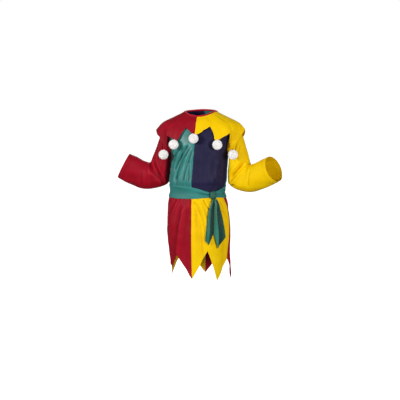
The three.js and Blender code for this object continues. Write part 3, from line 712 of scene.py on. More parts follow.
# %% Yarn and sewing thread
def fibre_material(name, light, dark, scale):
    """Spun fibre without a weave: a matt colour with fine streaks."""
    material, tree, shader = new_material(name)
    shader.inputs["Roughness"].default_value = 0.9
    shader.inputs["Specular IOR Level"].default_value = 0.15
    shader.inputs["Sheen Weight"].default_value = 0.3
    streaks = noise_on_piece(tree, scale, 4.0)
    shades = between_shades(tree, streaks, 0.35, dark, 0.65, light)
    tree.links.new(shades.outputs["Color"], shader.inputs["Base Color"])
    emboss(tree, shader, streaks.outputs["Fac"], 0.3, 0.0003)
    return material


YARN = fibre_material("white yarn", srgb(255, 253, 251), srgb(246, 242, 240), 900)
THREADS = {
    "red": fibre_material("red thread", srgb(158, 20, 34), srgb(138, 14, 28), 2500),
    "yellow": fibre_material("yellow thread", srgb(246, 206, 2), srgb(232, 188, 2), 2500),
    "sash_green": fibre_material("green thread", srgb(50, 120, 112), srgb(40, 102, 96), 2500),
}
print(YARN.name, "and", len(THREADS), "threads")

# %% [markdown]
# ## Hems and seams
#
# At a hem the cloth is folded under and stitched down, so a band along the edge is thicker. At a seam
# two panels turn in to meet each other. Both are a matter of how far the outer face rises or sinks near
# an edge. A stitch is modelled once, as a small spindle, and copied along the hem with each row's own
# places.

# %% Hem band, seam roll and stitches
SEAM_DEPTH = 0.8
SEAM_WIDTH = 2.2
HEM_WIDTH = 7.0
HEM_SOFTNESS = 0.8
HEM_RISE = 0.5
STITCH_IN = 5.5
STITCH_LENGTH = 3.2
STITCH_STEP = 4.6
STITCH_RADIUS = 0.34
STITCH_ABOVE = 0.12


def edge_at(edge, angle):
    """The level of a zigzag edge at an angle, and how far it stands out there."""
    return (np.interp(angle, edge[:, 0], edge[:, column]) for column in (1, 2))


def columns_through(edge, start, end, step):
    """Angles from seam to seam that meet every point and notch of a zigzag edge."""
    marks = [angle for angle in edge[:, 0] if start < angle < end]
    return through([start + SEAM_ANGLE, *marks, end - SEAM_ANGLE], step)


def seam_roll(distance):
    """How far the cloth turns in near a seam, at a distance from it in millimetres."""
    return -SEAM_DEPTH * bell(distance, SEAM_WIDTH)


def hem_rise(distance):
    return HEM_RISE * (1 - smoothstep(distance, HEM_WIDTH - HEM_SOFTNESS, HEM_WIDTH + HEM_SOFTNESS))


def edge_slope(edge_level, across_length):
    """How much shorter a step straight to a slanted edge is than a step down to it."""
    slope = np.gradient(edge_level, across_length)
    return 1 / np.sqrt(1 + slope**2)


stitch = new_primitive(
    bpy.ops.mesh.primitive_cylinder_add,
    vertices=5, radius=STITCH_RADIUS * MM, depth=STITCH_LENGTH * MM * 0.6, end_fill_type="TRIFAN",
)
for vertex in stitch.data.vertices:
    is_end = math.hypot(vertex.co.x, vertex.co.y) < 1e-6
    if is_end:
        vertex.co.z = math.copysign(STITCH_LENGTH * MM / 2, vertex.co.z)
STITCH_POINTS, STITCH_FACES = take_shape(stitch)
STITCH_POINTS /= MM


def sew(name, path, normals, cloth):
    """A row of stitches along a path of points on the cloth's outer face, as one mesh."""
    lengths = np.concatenate([[0], np.cumsum(np.linalg.norm(np.diff(path, axis=0), axis=1))])
    middles = np.arange(STITCH_STEP, lengths[-1] - STITCH_STEP / 2, STITCH_STEP)

    def along_path(values, at):
        return np.stack([np.interp(at, lengths, values[:, k]) for k in range(3)], axis=1)

    ahead = along_path(path, middles + STITCH_LENGTH / 2)
    behind = along_path(path, middles - STITCH_LENGTH / 2)
    ups = along_path(normals, middles)
    places = (ahead + behind) / 2 + ups * STITCH_ABOVE
    alongs = unit(ahead - behind)
    sides = unit(np.cross(ups, alongs))
    frames = np.stack([sides, np.cross(alongs, sides), alongs], axis=1)
    points = np.einsum("pk,nkx->npx", STITCH_POINTS, frames) + places[:, None, :]
    faces = copied_faces(STITCH_POINTS, STITCH_FACES, len(places))
    piece = new_piece(f"stitching_{name}", points.reshape(-1, 3), faces)
    piece.data.materials.append(THREADS[cloth])
    return piece


print(len(STITCH_FACES), "faces in a stitch")

# %% [markdown]
# ## Finishing a sheet
#
# Each cut piece of cloth gets its material, is hung from the model's root with its stitching, and hides
# the part it stands for in the solid model. A line for each piece prints the width and length of its cut,
# measured along its own surface, and the area of what shows, in metres.


def finish_cloth(
    node, piece, cloth, grid, is_tube=False, zigzag=False, with_pieces=()
):
    """A zigzag edge's width is measured straight across."""
    piece.data.materials.append(CLOTHS[cloth])
    steps_across = np.diff(closed_round(grid, is_tube), axis=1)
    if zigzag:
        steps_across[..., 2] = 0
    widest = np.linalg.norm(steps_across, axis=-1).sum(axis=1).max() * MM
    longest = np.linalg.norm(np.diff(grid, axis=0), axis=-1).sum(axis=0).max() * MM
    area = cloth_area(grid, is_tube)
    flat = (round(float(widest), 3), round(float(longest), 3))
    share = area / (flat[0] * flat[1])
    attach(piece, "root")
    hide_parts(node)
    for extra in with_pieces:
        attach(extra, "root")
    print(f"{node}: cut {flat[0]:.3f} x {flat[1]:.3f} m, {area:.4f} m2, {share:.0%} of its rectangle")


# %% [markdown]
# ## The bodice
#
# Four panels, two of green satin and two of navy, meet at the front, the back and the sides. Each side
# edge is cut back round the armhole. The panels run on under the collar to the neck and under the sash
# to the waist.

# %% Bodice panels
QUARTERS = [
    {"name": "front_right", "from": -90, "to": 0, "bodice": "green", "skirt": "red"},
    {"name": "front_left", "from": 0, "to": 90, "bodice": "navy", "skirt": "yellow"},
    {"name": "back_left", "from": 90, "to": 180, "bodice": "green", "skirt": "red"},
    {"name": "back_right", "from": -180, "to": -90, "bodice": "navy", "skirt": "yellow"},
]
CLOTH_WALL = 1.3
BODICE_COLUMNS = 101
ARMHOLE_ROWS = 51
JUST_INSIDE = 0.9999


def armhole_cut(level):
    """How many degrees a bodice panel is cut back at a level."""
    height = (level - ARMHOLE["level"]) / ARMHOLE["half_height"]
    return ARMHOLE["half_angle"] * np.sqrt(np.clip(1 - height * height, 0, None))


def bodice_levels():
    """Levels of the rows of a bodice panel, closer together round the armhole."""
    turns = np.linspace(0, 180, ARMHOLE_ROWS)
    round_armhole = ARMHOLE["level"] + ARMHOLE["half_height"] * JUST_INSIDE * np.cos(np.radians(turns))
    above = even(NECK_EDGE_LEVEL, round_armhole[0], 3.0)
    below = even(round_armhole[-1], WAIST_LEVEL + SEAM_GAP / 2, 2.2)
    return np.concatenate([above[:-1], round_armhole, below[1:]])


for quarter in QUARTERS:
    start, end = quarter["from"], quarter["to"]
    levels = bodice_levels()[:, None]
    across = np.linspace(0, 1, BODICE_COLUMNS)[None, :]
    side_is_last = abs(end) == 90
    cut = armhole_cut(levels)
    first = start + SEAM_ANGLE + (0 if side_is_last else cut)
    last = end - SEAM_ANGLE - (cut if side_is_last else 0)
    angles = lerp(first, last, across)
    from_edge = np.radians(np.minimum(angles - first, last - angles)) * BODY_RADIUS
    grid = creased_body_point(levels, angles, seam_roll(from_edge))
    piece = cloth_piece(f"cloth_bodice_{quarter['name']}", grid, CLOTH_WALL)
    finish_cloth(f"bodice_{quarter['name']}", piece, quarter["bodice"], grid)

# %% [markdown]
# ## The skirt
#
# Four flared panels hang from the waist seam and end in a zigzag hem. The hem's points and notches come
# from one table all round, and the folds that start under the sash open out towards the hem.

# %% Skirt panels
# angle, level, how far the point or notch swings out
HEM_EDGE = np.array([
    (-180, -692, 4), (-146, -580, 0), (-111, -698, 22), (-90, -602, -13), (-53, -645, -10),
    (-29, -576, 0), (0, -684, 0), (28, -566, 0), (51, -693, 1), (84, -607, -4),
    (106, -699, 20), (147, -580, 0), (180, -692, 4),
], dtype=float)
SKIRT_LEFT_SEAM = 84
SKIRT_STEP = 1.15
SKIRT_ROWS = 121
SKIRT_SPREAD = 1.05
TURNED_TIP = {"angle": 106, "by": 4.0, "turns_within": 5, "fades_from": 6, "fades_to": 16}


def skirt_point(angle, down, roll=0.0):
    """A point on the skirt. The tip of its left back panel turns a little to show its face to the front."""
    edge, stands_out = edge_at(HEM_EDGE, angle)
    from_tip = angle - TURNED_TIP["angle"]
    fade = 1 - smoothstep(np.abs(from_tip), TURNED_TIP["fades_from"], TURNED_TIP["fades_to"])
    turned = TURNED_TIP["by"] * np.clip(from_tip / TURNED_TIP["turns_within"], -1, 1) * fade
    swing = (stands_out + turned) * down**3
    return creased_body_point(lerp(WAIST_LEVEL - SEAM_GAP / 2, edge, down), angle, swing + roll)


for quarter in QUARTERS:
    start, end = (SKIRT_LEFT_SEAM if angle == 90 else angle for angle in (quarter["from"], quarter["to"]))
    angles = columns_through(HEM_EDGE, start, end, SKIRT_STEP)
    downs = np.linspace(0, 1, SKIRT_ROWS)
    edge, _ = edge_at(HEM_EDGE, angles)
    across_length = np.radians(angles) * BODY_RADIUS * SKIRT_SPREAD
    shorter = edge_slope(edge, across_length)
    to_edge = (1 - downs[:, None]) * (WAIST_LEVEL - edge) * shorter
    from_seam = np.minimum(angles - angles[0], angles[-1] - angles)[None, :]
    from_seam = np.radians(from_seam) * BODY_RADIUS
    roll = seam_roll(from_seam) + hem_rise(to_edge)
    grid = skirt_point(angles[None, :], downs[:, None], roll)
    name = f"skirt_{quarter['name']}"
    piece = cloth_piece(f"cloth_{name}", grid, CLOTH_WALL)

    stitch_down = 1 - STITCH_IN / ((WAIST_LEVEL - edge) * shorter)
    path = skirt_point(angles, stitch_down, HEM_RISE)
    normals = direction_out(lambda a, d: skirt_point(a, d, HEM_RISE), angles, stitch_down)
    stitches = sew(name, path, normals, quarter["skirt"])
    finish_cloth(name, piece, quarter["skirt"], grid, zigzag=True, with_pieces=[stitches])

# %% [markdown]
# ## The sleeves
#
# Each sleeve is one wide tube with an underarm seam. It bends at the elbow, where it creases, and its
# lower edge hangs in a deep curve. The cuff is open, and its turned hem shows inside.

# %% Tables of the sleeves
# outer edge x z, inner edge x z, middle y, half depth, how far it comes forward, how far its front slants in
SLEEVE_SECTIONS = np.array([
    (162, -77, 125, -194, 2, 38, 0, 0),
    (176, -106, 125, -214, 4, 40, 0, 0),
    (192, -150, 125, -243, 6, 41, 0, 0),
    (206, -190, 126, -274, 8, 42, 0, 0),
    (212, -209, 133, -302, 8, 43, 0, 2),
    (216, -215, 158, -316, 7, 43, 2, 5),
    (220, -216, 196, -327, 4, 43, 5, 9),
    (229, -212, 236, -328, 0, 42, 8, 13),
    (245, -206, 272, -317, -6, 41, 11, 17),
    (273, -192, 309, -301, -13, 40, 14, 20),
    (300, -181, 344, -280, -19, 39, 18, 22),
], dtype=float)
# how much of the table's last two columns each side's arm takes
ARM_REACH = {1: 1.0, -1: 0.4}
SLEEVE_GRID = {"round": 150, "along": 166}
CUFF_HEM = {"width": 2.2, "rise": 1.6, "stitches_in": 13}

# from section, from turn, to section, to turn, rise, width in sections
RIGHT_SLEEVE_FOLDS = [
    (5.6, 10, 5.2, 150, -9, 0.5),
    (6.6, 10, 6.3, 110, 5, 0.5),
    (5.4, 215, 5.5, 340, -7, 0.5),
    (3.2, 60, 4.4, 130, -4, 0.5),
]
LEFT_SLEEVE_FOLDS = [
    (4.2, 30, 4.6, 150, -8, 0.45),
    (5.6, 20, 5.2, 110, 5, 0.5),
    (6.1, 130, 5.0, 185, -6, 0.4),
    (5.5, 220, 5.4, 345, -7, 0.5),
]
RIGHT_SLEEVE_CREASES = [
    (3.7, 20, 5.7, 176, -12, 0.34),
    (3.2, 40, 4.7, 140, 1.2, 0.3),
    (4.8, 30, 6.2, 140, 1.8, 0.4),
    (6.2, 60, 6.9, 160, -1.8, 0.34),
    (1.2, 40, 2.8, 120, -4, 0.2),
    (2.0, 30, 3.4, 110, -3, 0.2),
    (7.4, 20, 7.8, 120, 1.8, 0.4),
    (8.2, 60, 8.0, 150, -2.5, 0.26),
    (6.4, 230, 6.2, 330, 3, 0.3),
    (4.8, 220, 5.0, 330, -5, 0.2),
    (3.0, 220, 3.6, 330, -3.5, 0.25),
]
LEFT_SLEEVE_CREASES = [
    (4.0, 30, 4.7, 150, -6.5, 0.24),
    (5.2, 40, 4.9, 165, -5, 0.22),
    (3.5, 50, 3.9, 140, 3, 0.28),
    (6.3, 60, 5.6, 160, -2.0, 0.3),
    (1.4, 40, 2.6, 125, -4, 0.2),
    (2.2, 30, 3.2, 110, -3, 0.2),
    (6.9, 110, 5.9, 170, 1.2, 0.4),
    (7.6, 15, 8.2, 110, 1.8, 0.4),
    (8.4, 50, 8.0, 140, -2.5, 0.2),
    (6.4, 230, 6.2, 330, 3, 0.3),
    (4.8, 220, 5.0, 330, -5, 0.2),
    (3.0, 220, 3.6, 330, -3.5, 0.25),
]
print(len(SLEEVE_SECTIONS), "sections in a sleeve")

# %% Sleeve surfaces
def armhole_point(side, turn):
    inset = 1 - SEAM_GAP / ARMHOLE["half_height"]
    level = ARMHOLE["level"] + ARMHOLE["half_height"] * inset * np.cos(np.radians(turn))
    angle = 90 - (ARMHOLE["half_angle"] - 2 * SEAM_ANGLE) * np.sin(np.radians(turn))
    return upright_point(level, side * angle)


def smooth_sleeve_point(side, turn, along):
    sine, cosine = np.sin(np.radians(turn)), np.cos(np.radians(turn))
    reach = ARM_REACH[side]
    rows = [armhole_point(side, turn)]
    for out_x, out_z, in_x, in_z, middle_y, half_depth, forward, slant in SLEEVE_SECTIONS:
        x = lerp(in_x, out_x, (1 + cosine) / 2) - reach * slant * sine
        z = lerp(in_z, out_z, (1 + cosine) / 2)
        y = middle_y - reach * forward - half_depth * sine
        rows.append(np.stack([side * x, y, z], axis=-1))
    return read_smooth(np.arange(len(rows)), np.array(rows), along)


def sleeve_fold_rise(folds, turn, along):
    rise = np.zeros(np.broadcast(turn, along).shape)
    for start, start_turn, end, end_turn, height, width in folds:
        t = (turn % 360 - start_turn) / (end_turn - start_turn)
        fade = smoothstep(t, 0, 0.3) * (1 - smoothstep(t, 0.7, 1))
        away = along - lerp(start, end, t)
        rise = rise + fade * height * bell(away, width)
    return rise


def sleeve_grid(side, folds, turns, alongs, extra=0.0):
    """The sleeve's outer face: rows run along the arm, and columns go round it."""
    point = smooth_sleeve_point(side, turns, alongs)
    opposite = smooth_sleeve_point(side, turns + 180, alongs)
    outward = unit(point - (point + opposite) / 2)
    rise = sleeve_fold_rise(folds, turns[None, :], alongs[:, None])
    calm = smoothstep(alongs[:, None], 0, 1.5)
    rise = rise + UNEVEN_RISE["sleeve"] * calm * unevenness(point) + extra
    return lean_with_hips(point + outward * rise[..., None])


print("top of the left armhole:", armhole_point(1, 0.0).round(1))

# %% Both sleeves
for name, side, folds, cloth in (
    ("sleeve_left", 1, LEFT_SLEEVE_FOLDS + LEFT_SLEEVE_CREASES, "yellow"),
    ("sleeve_right", -1, RIGHT_SLEEVE_FOLDS + RIGHT_SLEEVE_CREASES, "red"),
):
    turns = -side * np.linspace(0, 360, SLEEVE_GRID["round"] + 1)[:-1]
    alongs = np.linspace(0, len(SLEEVE_SECTIONS), SLEEVE_GRID["along"])
    plain = sleeve_grid(side, folds, turns, alongs)
    from_armhole = steps_along(plain, 0)[:, None]
    to_cuff = from_armhole[-1] - from_armhole
    cuff_hem = CUFF_HEM["rise"] * hem_rise(to_cuff / CUFF_HEM["width"])
    grid = sleeve_grid(side, folds, turns, alongs, seam_roll(from_armhole) + cuff_hem)
    piece = cloth_piece(f"cloth_{name}", grid, CLOTH_WALL, is_tube=True)
    cuff_row = int(np.argmin(np.abs(to_cuff[:, 0] - CUFF_HEM["stitches_in"])))
    cuff = closed_round(grid)[cuff_row]
    outwards = closed_round(grid_normals(grid, is_tube=True))[cuff_row]
    stitches = sew(name, cuff, outwards, cloth)
    finish_cloth(name, piece, cloth, grid, is_tube=True, with_pieces=[stitches])

# %% [markdown]
# ## The collar
#
# A small cape in two halves, red and yellow, lies over the shoulders. Its zigzag edge has nine points,
# and the long ones stand off the body and droop. Between the points the cloth lies in soft folds from
# the neck.

# %% The collar's edge and folds
# angle, level, stand-off from the body
COLLAR_EDGE = np.array([
    (-180, -46, 2), (-167, -69, 5), (-154, -104, 8), (-146, -86, 10), (-138, -72, 12), (-130, -112, 21),
    (-122, -150, 30), (-106, -113, 36), (-90, -78, 42), (-71.5, -101, 30), (-53, -163, 18), (-50, -117, 15),
    (-47, -86, 12), (-37.5, -93, 9), (-28, -106, 6), (-22.5, -80, 4), (-17, -38, 2), (-8.5, -45, 2.5),
    (0, -61, 3), (13, -44, 2.5), (26, -37, 2), (29.5, -87, 4), (33, -106, 6), (44.5, -87, 9), (56, -76, 12),
    (59.5, -116, 19), (63, -159, 26), (76.5, -104, 28), (90, -72, 31), (106, -110, 30), (122, -150, 30),
    (130, -112, 21), (138, -72, 12), (146, -86, 10), (154, -104, 8), (167, -69, 5), (180, -46, 2),
], dtype=float)
POMPOM_PLACES = {
    "front": 0, "chest_left": 33, "chest_right": -28, "arm_front_left": 63, "arm_front_right": -53,
    "arm_back_left": 122, "arm_back_right": -122, "back_left": 154, "back_right": -154,
}
# angle, rise and width in degrees of the soft folds that run from the neck to the edge
COLLAR_FOLDS = [
    (-160, 1.6, 5), (-146, -1.6, 5), (-128, 2.0, 5), (-104, -2.2, 6), (-76, 2.0, 6),
    (-62, -1.8, 4), (-52, 1.8, 4), (-38, -1.4, 4), (-22, 1.2, 4), (12, -0.8, 5),
    (40, -1.4, 4), (50, 1.8, 3), (59, -2.2, 2.5), (67, 2.2, 3), (78, -2.0, 4),
    (98, 2.0, 6), (110, -1.8, 5), (128, 2.0, 5), (146, -1.6, 5), (160, 1.6, 5),
]
print(len(COLLAR_EDGE), "places on the collar's edge,", len(COLLAR_FOLDS), "soft folds")

# %% The collar's halves
COLLAR_WALL = 1.3
COLLAR_STEP = 1.25
COLLAR_ROWS = 45
# how far the collar lies over the body at the neck, and further down
COLLAR_CLEAR = {"neck": 2.7, "body": 6, "reached_at": 0.35}


def collar_point(angle, down, rise=0.0):
    """The collar's outer face, where down is 0 at the neck and 1 at the zigzag edge."""
    angle, down = np.broadcast_arrays(np.asarray(angle, float), np.asarray(down, float))
    edge, stands_out = edge_at(COLLAR_EDGE, angle)
    level = lerp(NECK_EDGE_LEVEL, edge, down)
    clear = lerp(COLLAR_CLEAR["neck"], COLLAR_CLEAR["body"], smoothstep(down, 0, COLLAR_CLEAR["reached_at"]))
    normal = direction_out(lambda a, l: section_point(l, a), angle, level, -1e-3)
    point = section_point(level, angle) + normal * (clear + rise)[..., None]
    return lean_with_hips(move_outward(point, stands_out * down**2))


def collar_rise(angle, down):
    rise = np.zeros(np.broadcast(angle, down).shape)
    for middle, height, width in COLLAR_FOLDS:
        rise = rise + height * bell(angle - middle, width) * smoothstep(down, 0.25, 0.8)
    return rise


for name, start, end, cloth in (("collar_right", -180, 0, "red"), ("collar_left", 0, 180, "yellow")):
    angles = columns_through(COLLAR_EDGE, start, end, COLLAR_STEP)
    downs = np.linspace(0, 1, COLLAR_ROWS)
    plain = collar_point(angles[None, :], downs[:, None])
    reach = np.linalg.norm(np.diff(plain, axis=0), axis=-1).sum(axis=0)
    edge_steps = np.linalg.norm(np.diff(plain[-1], axis=0)[:, :2], axis=1)
    across_length = np.concatenate([[0], np.cumsum(edge_steps)])
    edge, _ = edge_at(COLLAR_EDGE, angles)
    shorter = edge_slope(edge, across_length)
    to_edge = (1 - downs[:, None]) * reach * shorter
    rise = collar_rise(angles[None, :], downs[:, None]) + hem_rise(to_edge)
    rise = rise + UNEVEN_RISE["collar"] * unevenness(plain) * downs[:, None]
    grid = collar_point(angles[None, :], downs[:, None], rise)
    piece = cloth_piece(f"cloth_{name}", grid, COLLAR_WALL)

    stitch_down = np.clip(1 - STITCH_IN / (reach * shorter), 0.3, 1)
    stitch_rise = collar_rise(angles, stitch_down) + HEM_RISE
    uneven = unevenness(collar_point(angles, stitch_down))
    stitch_rise = stitch_rise + UNEVEN_RISE["collar"] * uneven * stitch_down
    path = collar_point(angles, stitch_down, stitch_rise)
    normals = direction_out(collar_point, angles, stitch_down)
    stitches = sew(name, path, normals, cloth)
    finish_cloth(name, piece, cloth, grid, zigzag=True, with_pieces=[stitches])

# %% [markdown]
# ## The neck binding
#
# A bias strip is folded over the neck edge of bodice and collar. It is made as what it is: a strip
# whose section is a narrow arch over the edge, closed all round.

# %% The neck binding
BINDING = {"half_height": 4.0, "half_thickness": 3.4, "above_cloth": 0.5, "wall": 0.9}
BINDING_RIPPLES = {"count": 46, "rise": 0.25}
STITCH_ROW = 13
BINDING_GRID = {"round": 180, "rows": 17, "wraps_to": 165}
binding_angles = np.linspace(-180, 180, BINDING_GRID["round"] + 1)[:-1]
binding_turns = np.linspace(BINDING_GRID["wraps_to"], -BINDING_GRID["wraps_to"], BINDING_GRID["rows"])
edge = upright_point(float(NECK_EDGE_LEVEL), binding_angles)
outward = direction_out(lambda a, l: upright_point(l, a), binding_angles, float(NECK_EDGE_LEVEL), -1e-3)
upward = unit(upright_point(NECK_EDGE_LEVEL + 1.0, binding_angles) - edge)
rows = []
for turn in np.radians(binding_turns):
    ripple = BINDING_RIPPLES["rise"] * np.sin(np.radians(binding_angles) * BINDING_RIPPLES["count"])
    ripple = ripple * abs(math.sin(turn))
    out = BINDING["above_cloth"] + (BINDING["half_thickness"] + ripple) * math.sin(turn)
    up = BINDING["half_height"] * (1 + math.cos(turn)) + SEAM_GAP
    rows.append(edge + outward * np.reshape(out, (-1, 1)) + upward * up)
grid = lean_with_hips(np.array(rows))[::-1]
binding = cloth_piece("cloth_neck_binding", grid, BINDING["wall"], is_tube=True)
binding_path = closed_round(grid)[STITCH_ROW]
binding_out = np.concatenate([outward, outward[:1]])
binding_stitches = sew("neck_binding", binding_path, binding_out, "red")
finish_cloth(
    "neck_binding", binding, "red", grid, is_tube=True, with_pieces=[binding_stitches]
)

# %% [markdown]
# ## The sash
#
# A long satin strip goes once round the waist, is drawn narrow at its knot and hangs in two tails.
# Folds in it run round the body and gather towards the knot.

# %% The sash round the waist
SASH = {"top": -303, "bottom": -356, "clear": 1.8, "cloth": 1.6}
SASH_AT_KNOT = {"angle": 43, "top": -328, "bottom": -349, "reach": 34}
# place between top and bottom edge, from angle, to angle, rise, width of the long folds
SASH_FOLDS = [
    (0.26, -8, 62, 1.3, 0.09),
    (0.50, 4, 72, -1.6, 0.08),
    (0.72, -14, 60, 1.4, 0.10),
    (0.86, 10, 80, -1.2, 0.07),
    (0.12, -60, 20, 0.8, 0.06),
    (0.40, 62, 150, 1.4, 0.09),
    (0.66, 58, 130, -1.4, 0.08),
    (0.30, 120, 240, 1.2, 0.10),
    (0.62, 150, 290, -1.3, 0.10),
    (0.80, 200, 320, 1.2, 0.09),
]
SASH_WALL = 1.2
SASH_GRID = {"round": 240, "rows": 31}
# small gathers where the strip is drawn into the knot
GATHERS = {"rise": 1.1, "reach": 20, "count": 7}
TURNED_EDGE = {"width": 0.03, "depth": 1.0}


def sash_point(angle, down, rise=0.0):
    drawn = bell(turn_between(angle, SASH_AT_KNOT["angle"]), SASH_AT_KNOT["reach"])
    top = lerp(SASH["top"], SASH_AT_KNOT["top"], drawn)
    bottom = lerp(SASH["bottom"], SASH_AT_KNOT["bottom"], drawn)
    return body_point(lerp(top, bottom, down), angle, SASH["cloth"] + SASH["clear"] + rise)


def sash_rise(angle, down):
    rise = np.zeros(np.broadcast(angle, down).shape)
    for middle, start, end, height, width in SASH_FOLDS:
        t = ((angle - start) % 360) / (end - start)
        fade = smoothstep(t, 0, 0.3) * (1 - smoothstep(t, 0.8, 1.05))
        # the line of a long fold wanders a little up and down
        wander = middle + 0.06 * np.sin(np.radians(angle) * 3 + middle * 9)
        rise = rise + fade * height * bell(down - wander, width)
    drawn = bell(turn_between(angle, SASH_AT_KNOT["angle"]), GATHERS["reach"])
    return rise + GATHERS["rise"] * drawn * np.sin(down * math.pi * GATHERS["count"])


angles = np.linspace(-180, 180, SASH_GRID["round"] + 1)[:-1]
downs = np.linspace(0, 1, SASH_GRID["rows"])
from_edge = np.minimum(downs, 1 - downs)
edge_turn = -TURNED_EDGE["depth"] * bell(from_edge, TURNED_EDGE["width"])
rise = sash_rise(angles[None, :], downs[:, None]) + edge_turn[:, None]
sash_grid = sash_point(angles[None, :], downs[:, None], rise)
sash = cloth_piece("cloth_sash_band", sash_grid, SASH_WALL, is_tube=True)
print("sash length:", round(steps_along(closed_round(sash_grid), 1)[-1]), "mm")

# %% [markdown]
# ## The knot
#
# The knot is the strip's own wrap: cloth bundled into a small barrel over the sash, with pleats that
# pinch together above and below. It starts as a ball, flattened to the knot's size, and its pleats are
# pressed in.

# %% The sash knot
KNOT = {"level": -339, "half_width": 15, "half_height": 17, "half_depth": 10, "clear": 1}
PLEAT_DEPTH = 0.2
PLEAT_COUNT = 5
PLEAT_SLANT = 0.25
KNOT_BOXINESS = 0.55
KNOT_FILL = 0.92
KNOT_NARROWED = 0.95
KNOT_WAIST = {"depth": 0.12, "height": 0.15, "reach": 0.35}


def knot_place():
    angle, middle = np.array(float(SASH_AT_KNOT["angle"])), np.array(0.5)
    seat = sash_point(angle, middle)
    outward = direction_out(sash_point, angle, middle)
    outward[2] = 0
    outward /= np.linalg.norm(outward)
    centre = seat + outward * (KNOT["half_depth"] + KNOT["clear"])
    centre[2] = KNOT["level"]
    return centre, outward


knot_centre, knot_outward = knot_place()
knot_side = np.array([-knot_outward[1], knot_outward[0], 0])
knot = new_primitive(bpy.ops.mesh.primitive_uv_sphere_add, segments=96, ring_count=56, radius=1)
knot.name = "cloth_sash_knot"
shape = np.array([vertex.co for vertex in knot.data.vertices])
turn = np.arctan2(shape[:, 1], shape[:, 0])
height = shape[:, 2]
girth = np.sqrt(np.clip(1 - height**2, 0, 1))
boxy = girth**KNOT_BOXINESS / np.maximum(girth, 1e-6)
slanted = turn + PLEAT_SLANT * height
pleat_waves = np.abs(np.sin(slanted * PLEAT_COUNT + 0.5 * np.sin(height * 3))) ** 0.7 - 0.5
pleats = PLEAT_DEPTH * pleat_waves * girth**0.5
waist = 1 - KNOT_WAIST["depth"] * bell(height - KNOT_WAIST["height"], KNOT_WAIST["reach"])
swell = (KNOT_FILL + pleats) * waist * boxy
out = shape[:, 0] * swell * KNOT["half_depth"]
side = shape[:, 1] * swell * KNOT["half_width"] * KNOT_NARROWED
up = height * KNOT["half_height"]
placed = knot_centre + np.outer(out, knot_outward) + np.outer(side, knot_side)
placed[:, 2] += up
for vertex, place in zip(knot.data.vertices, placed * MM):
    vertex.co = place
knot.data.uv_layers[0].name = "cloth"
# painted shade in the bottoms of the knot's pleats and a painted highlight on their tops
knot_painted_shade = knot.data.attributes.new("fold", "FLOAT", "POINT")
knot_painted_shade.data.foreach_set("value", np.clip(0.2 + pleats / PLEAT_DEPTH, 0, 1))
knot.data.materials.append(CLOTHS["sash_shaded_ends"])
select_only(knot)
bpy.ops.object.shade_smooth_by_angle(angle=math.radians(60))
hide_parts("sash_knot")
finish_cloth("sash_band", sash, "sash_green", sash_grid, is_tube=True, with_pieces=[knot])
print("knot at", knot_centre.round(1), "mm")

# %% [markdown]
# ## The sash's tails
#
# Both ends of the strip hang from the knot over the skirt. They are bunched at the top and open out
# downwards in a few long folds, and each is cut slanted at its end.

# %% The sash's tails
TAIL_TOP_LEVEL = KNOT["level"] - KNOT["half_height"] + 1.3
TAIL_TOP_OUT = SASH["cloth"] + SASH["clear"] + KNOT["half_depth"] + KNOT["clear"] + SASH["cloth"] / 2
TAIL_CLEAR = 1.3
TAIL_WAVE = 5
TAIL_STEP = 1 / 52
TAIL_ROWS = 71
# how far a fold stands out from its trough to its ridge for the full change of painted shade
TAIL_PAINTED_SHADE_FULL = 10
TAIL_RIPPLE = {"rise": 0.5, "across": 40, "down": 3}
# spread: down, from angle, to angle; edge: across, level; folds: across, rise
SASH_TAILS = [
    {
        "name": "sash_tail_inner",
        "spread": [
            (0, 38.4, 42.9), (0.06, 35.6, 43.0), (0.2, 31.0, 42.6), (0.35, 27.5, 41.9), (0.75, 23.2, 40.2),
            (1, 22, 38),
        ],
        "edge": [(0, -522), (0.41, -541), (1, -493)],
        "folds": [(0, -1.0), (0.16, 3.6), (0.34, 1.6), (0.5, -4.0), (0.62, -5.4), (0.85, -5.0), (1, -4.0)],
    },
    {
        "name": "sash_tail_outer",
        "spread": [
            (0, 42.6, 47.4), (0.06, 42.6, 50.6), (0.2, 41.2, 54), (0.35, 39.9, 57.5), (0.75, 38.3, 65.5),
            (1, 37.4, 69),
        ],
        "edge": [(0, -497), (0.24, -556), (1, -514)],
        "folds": [
            (0, -2.0), (0.1, 3.0), (0.2, 7.0), (0.32, 2.0), (0.44, -4.8), (0.7, -5.0), (0.86, -1.8),
            (1, -0.6),
        ],
    },
]


def tail_point(tail, across, down, rise=0.0):
    marks, spread, folds = (np.array(tail[name], dtype=float) for name in ("edge", "spread", "folds"))
    edge = np.interp(across, marks[:, 0], marks[:, 1])
    start, end = np.moveaxis(read_smooth(spread[:, 0], spread[:, 1:], down), -1, 0)
    loose = smoothstep(down, 0, 0.3)
    drifting = across + 0.03 * np.sin(down * 6)
    fold = read_smooth(folds[:, 0], folds[:, 1], np.clip(drifting, 0, 1)) * smoothstep(down, -0.15, 0.25)
    out = lerp(TAIL_TOP_OUT, TAIL_CLEAR + SASH["cloth"] + TAIL_WAVE, loose) + fold + rise
    return body_point(lerp(TAIL_TOP_LEVEL, edge, down), lerp(start, end, across), out)


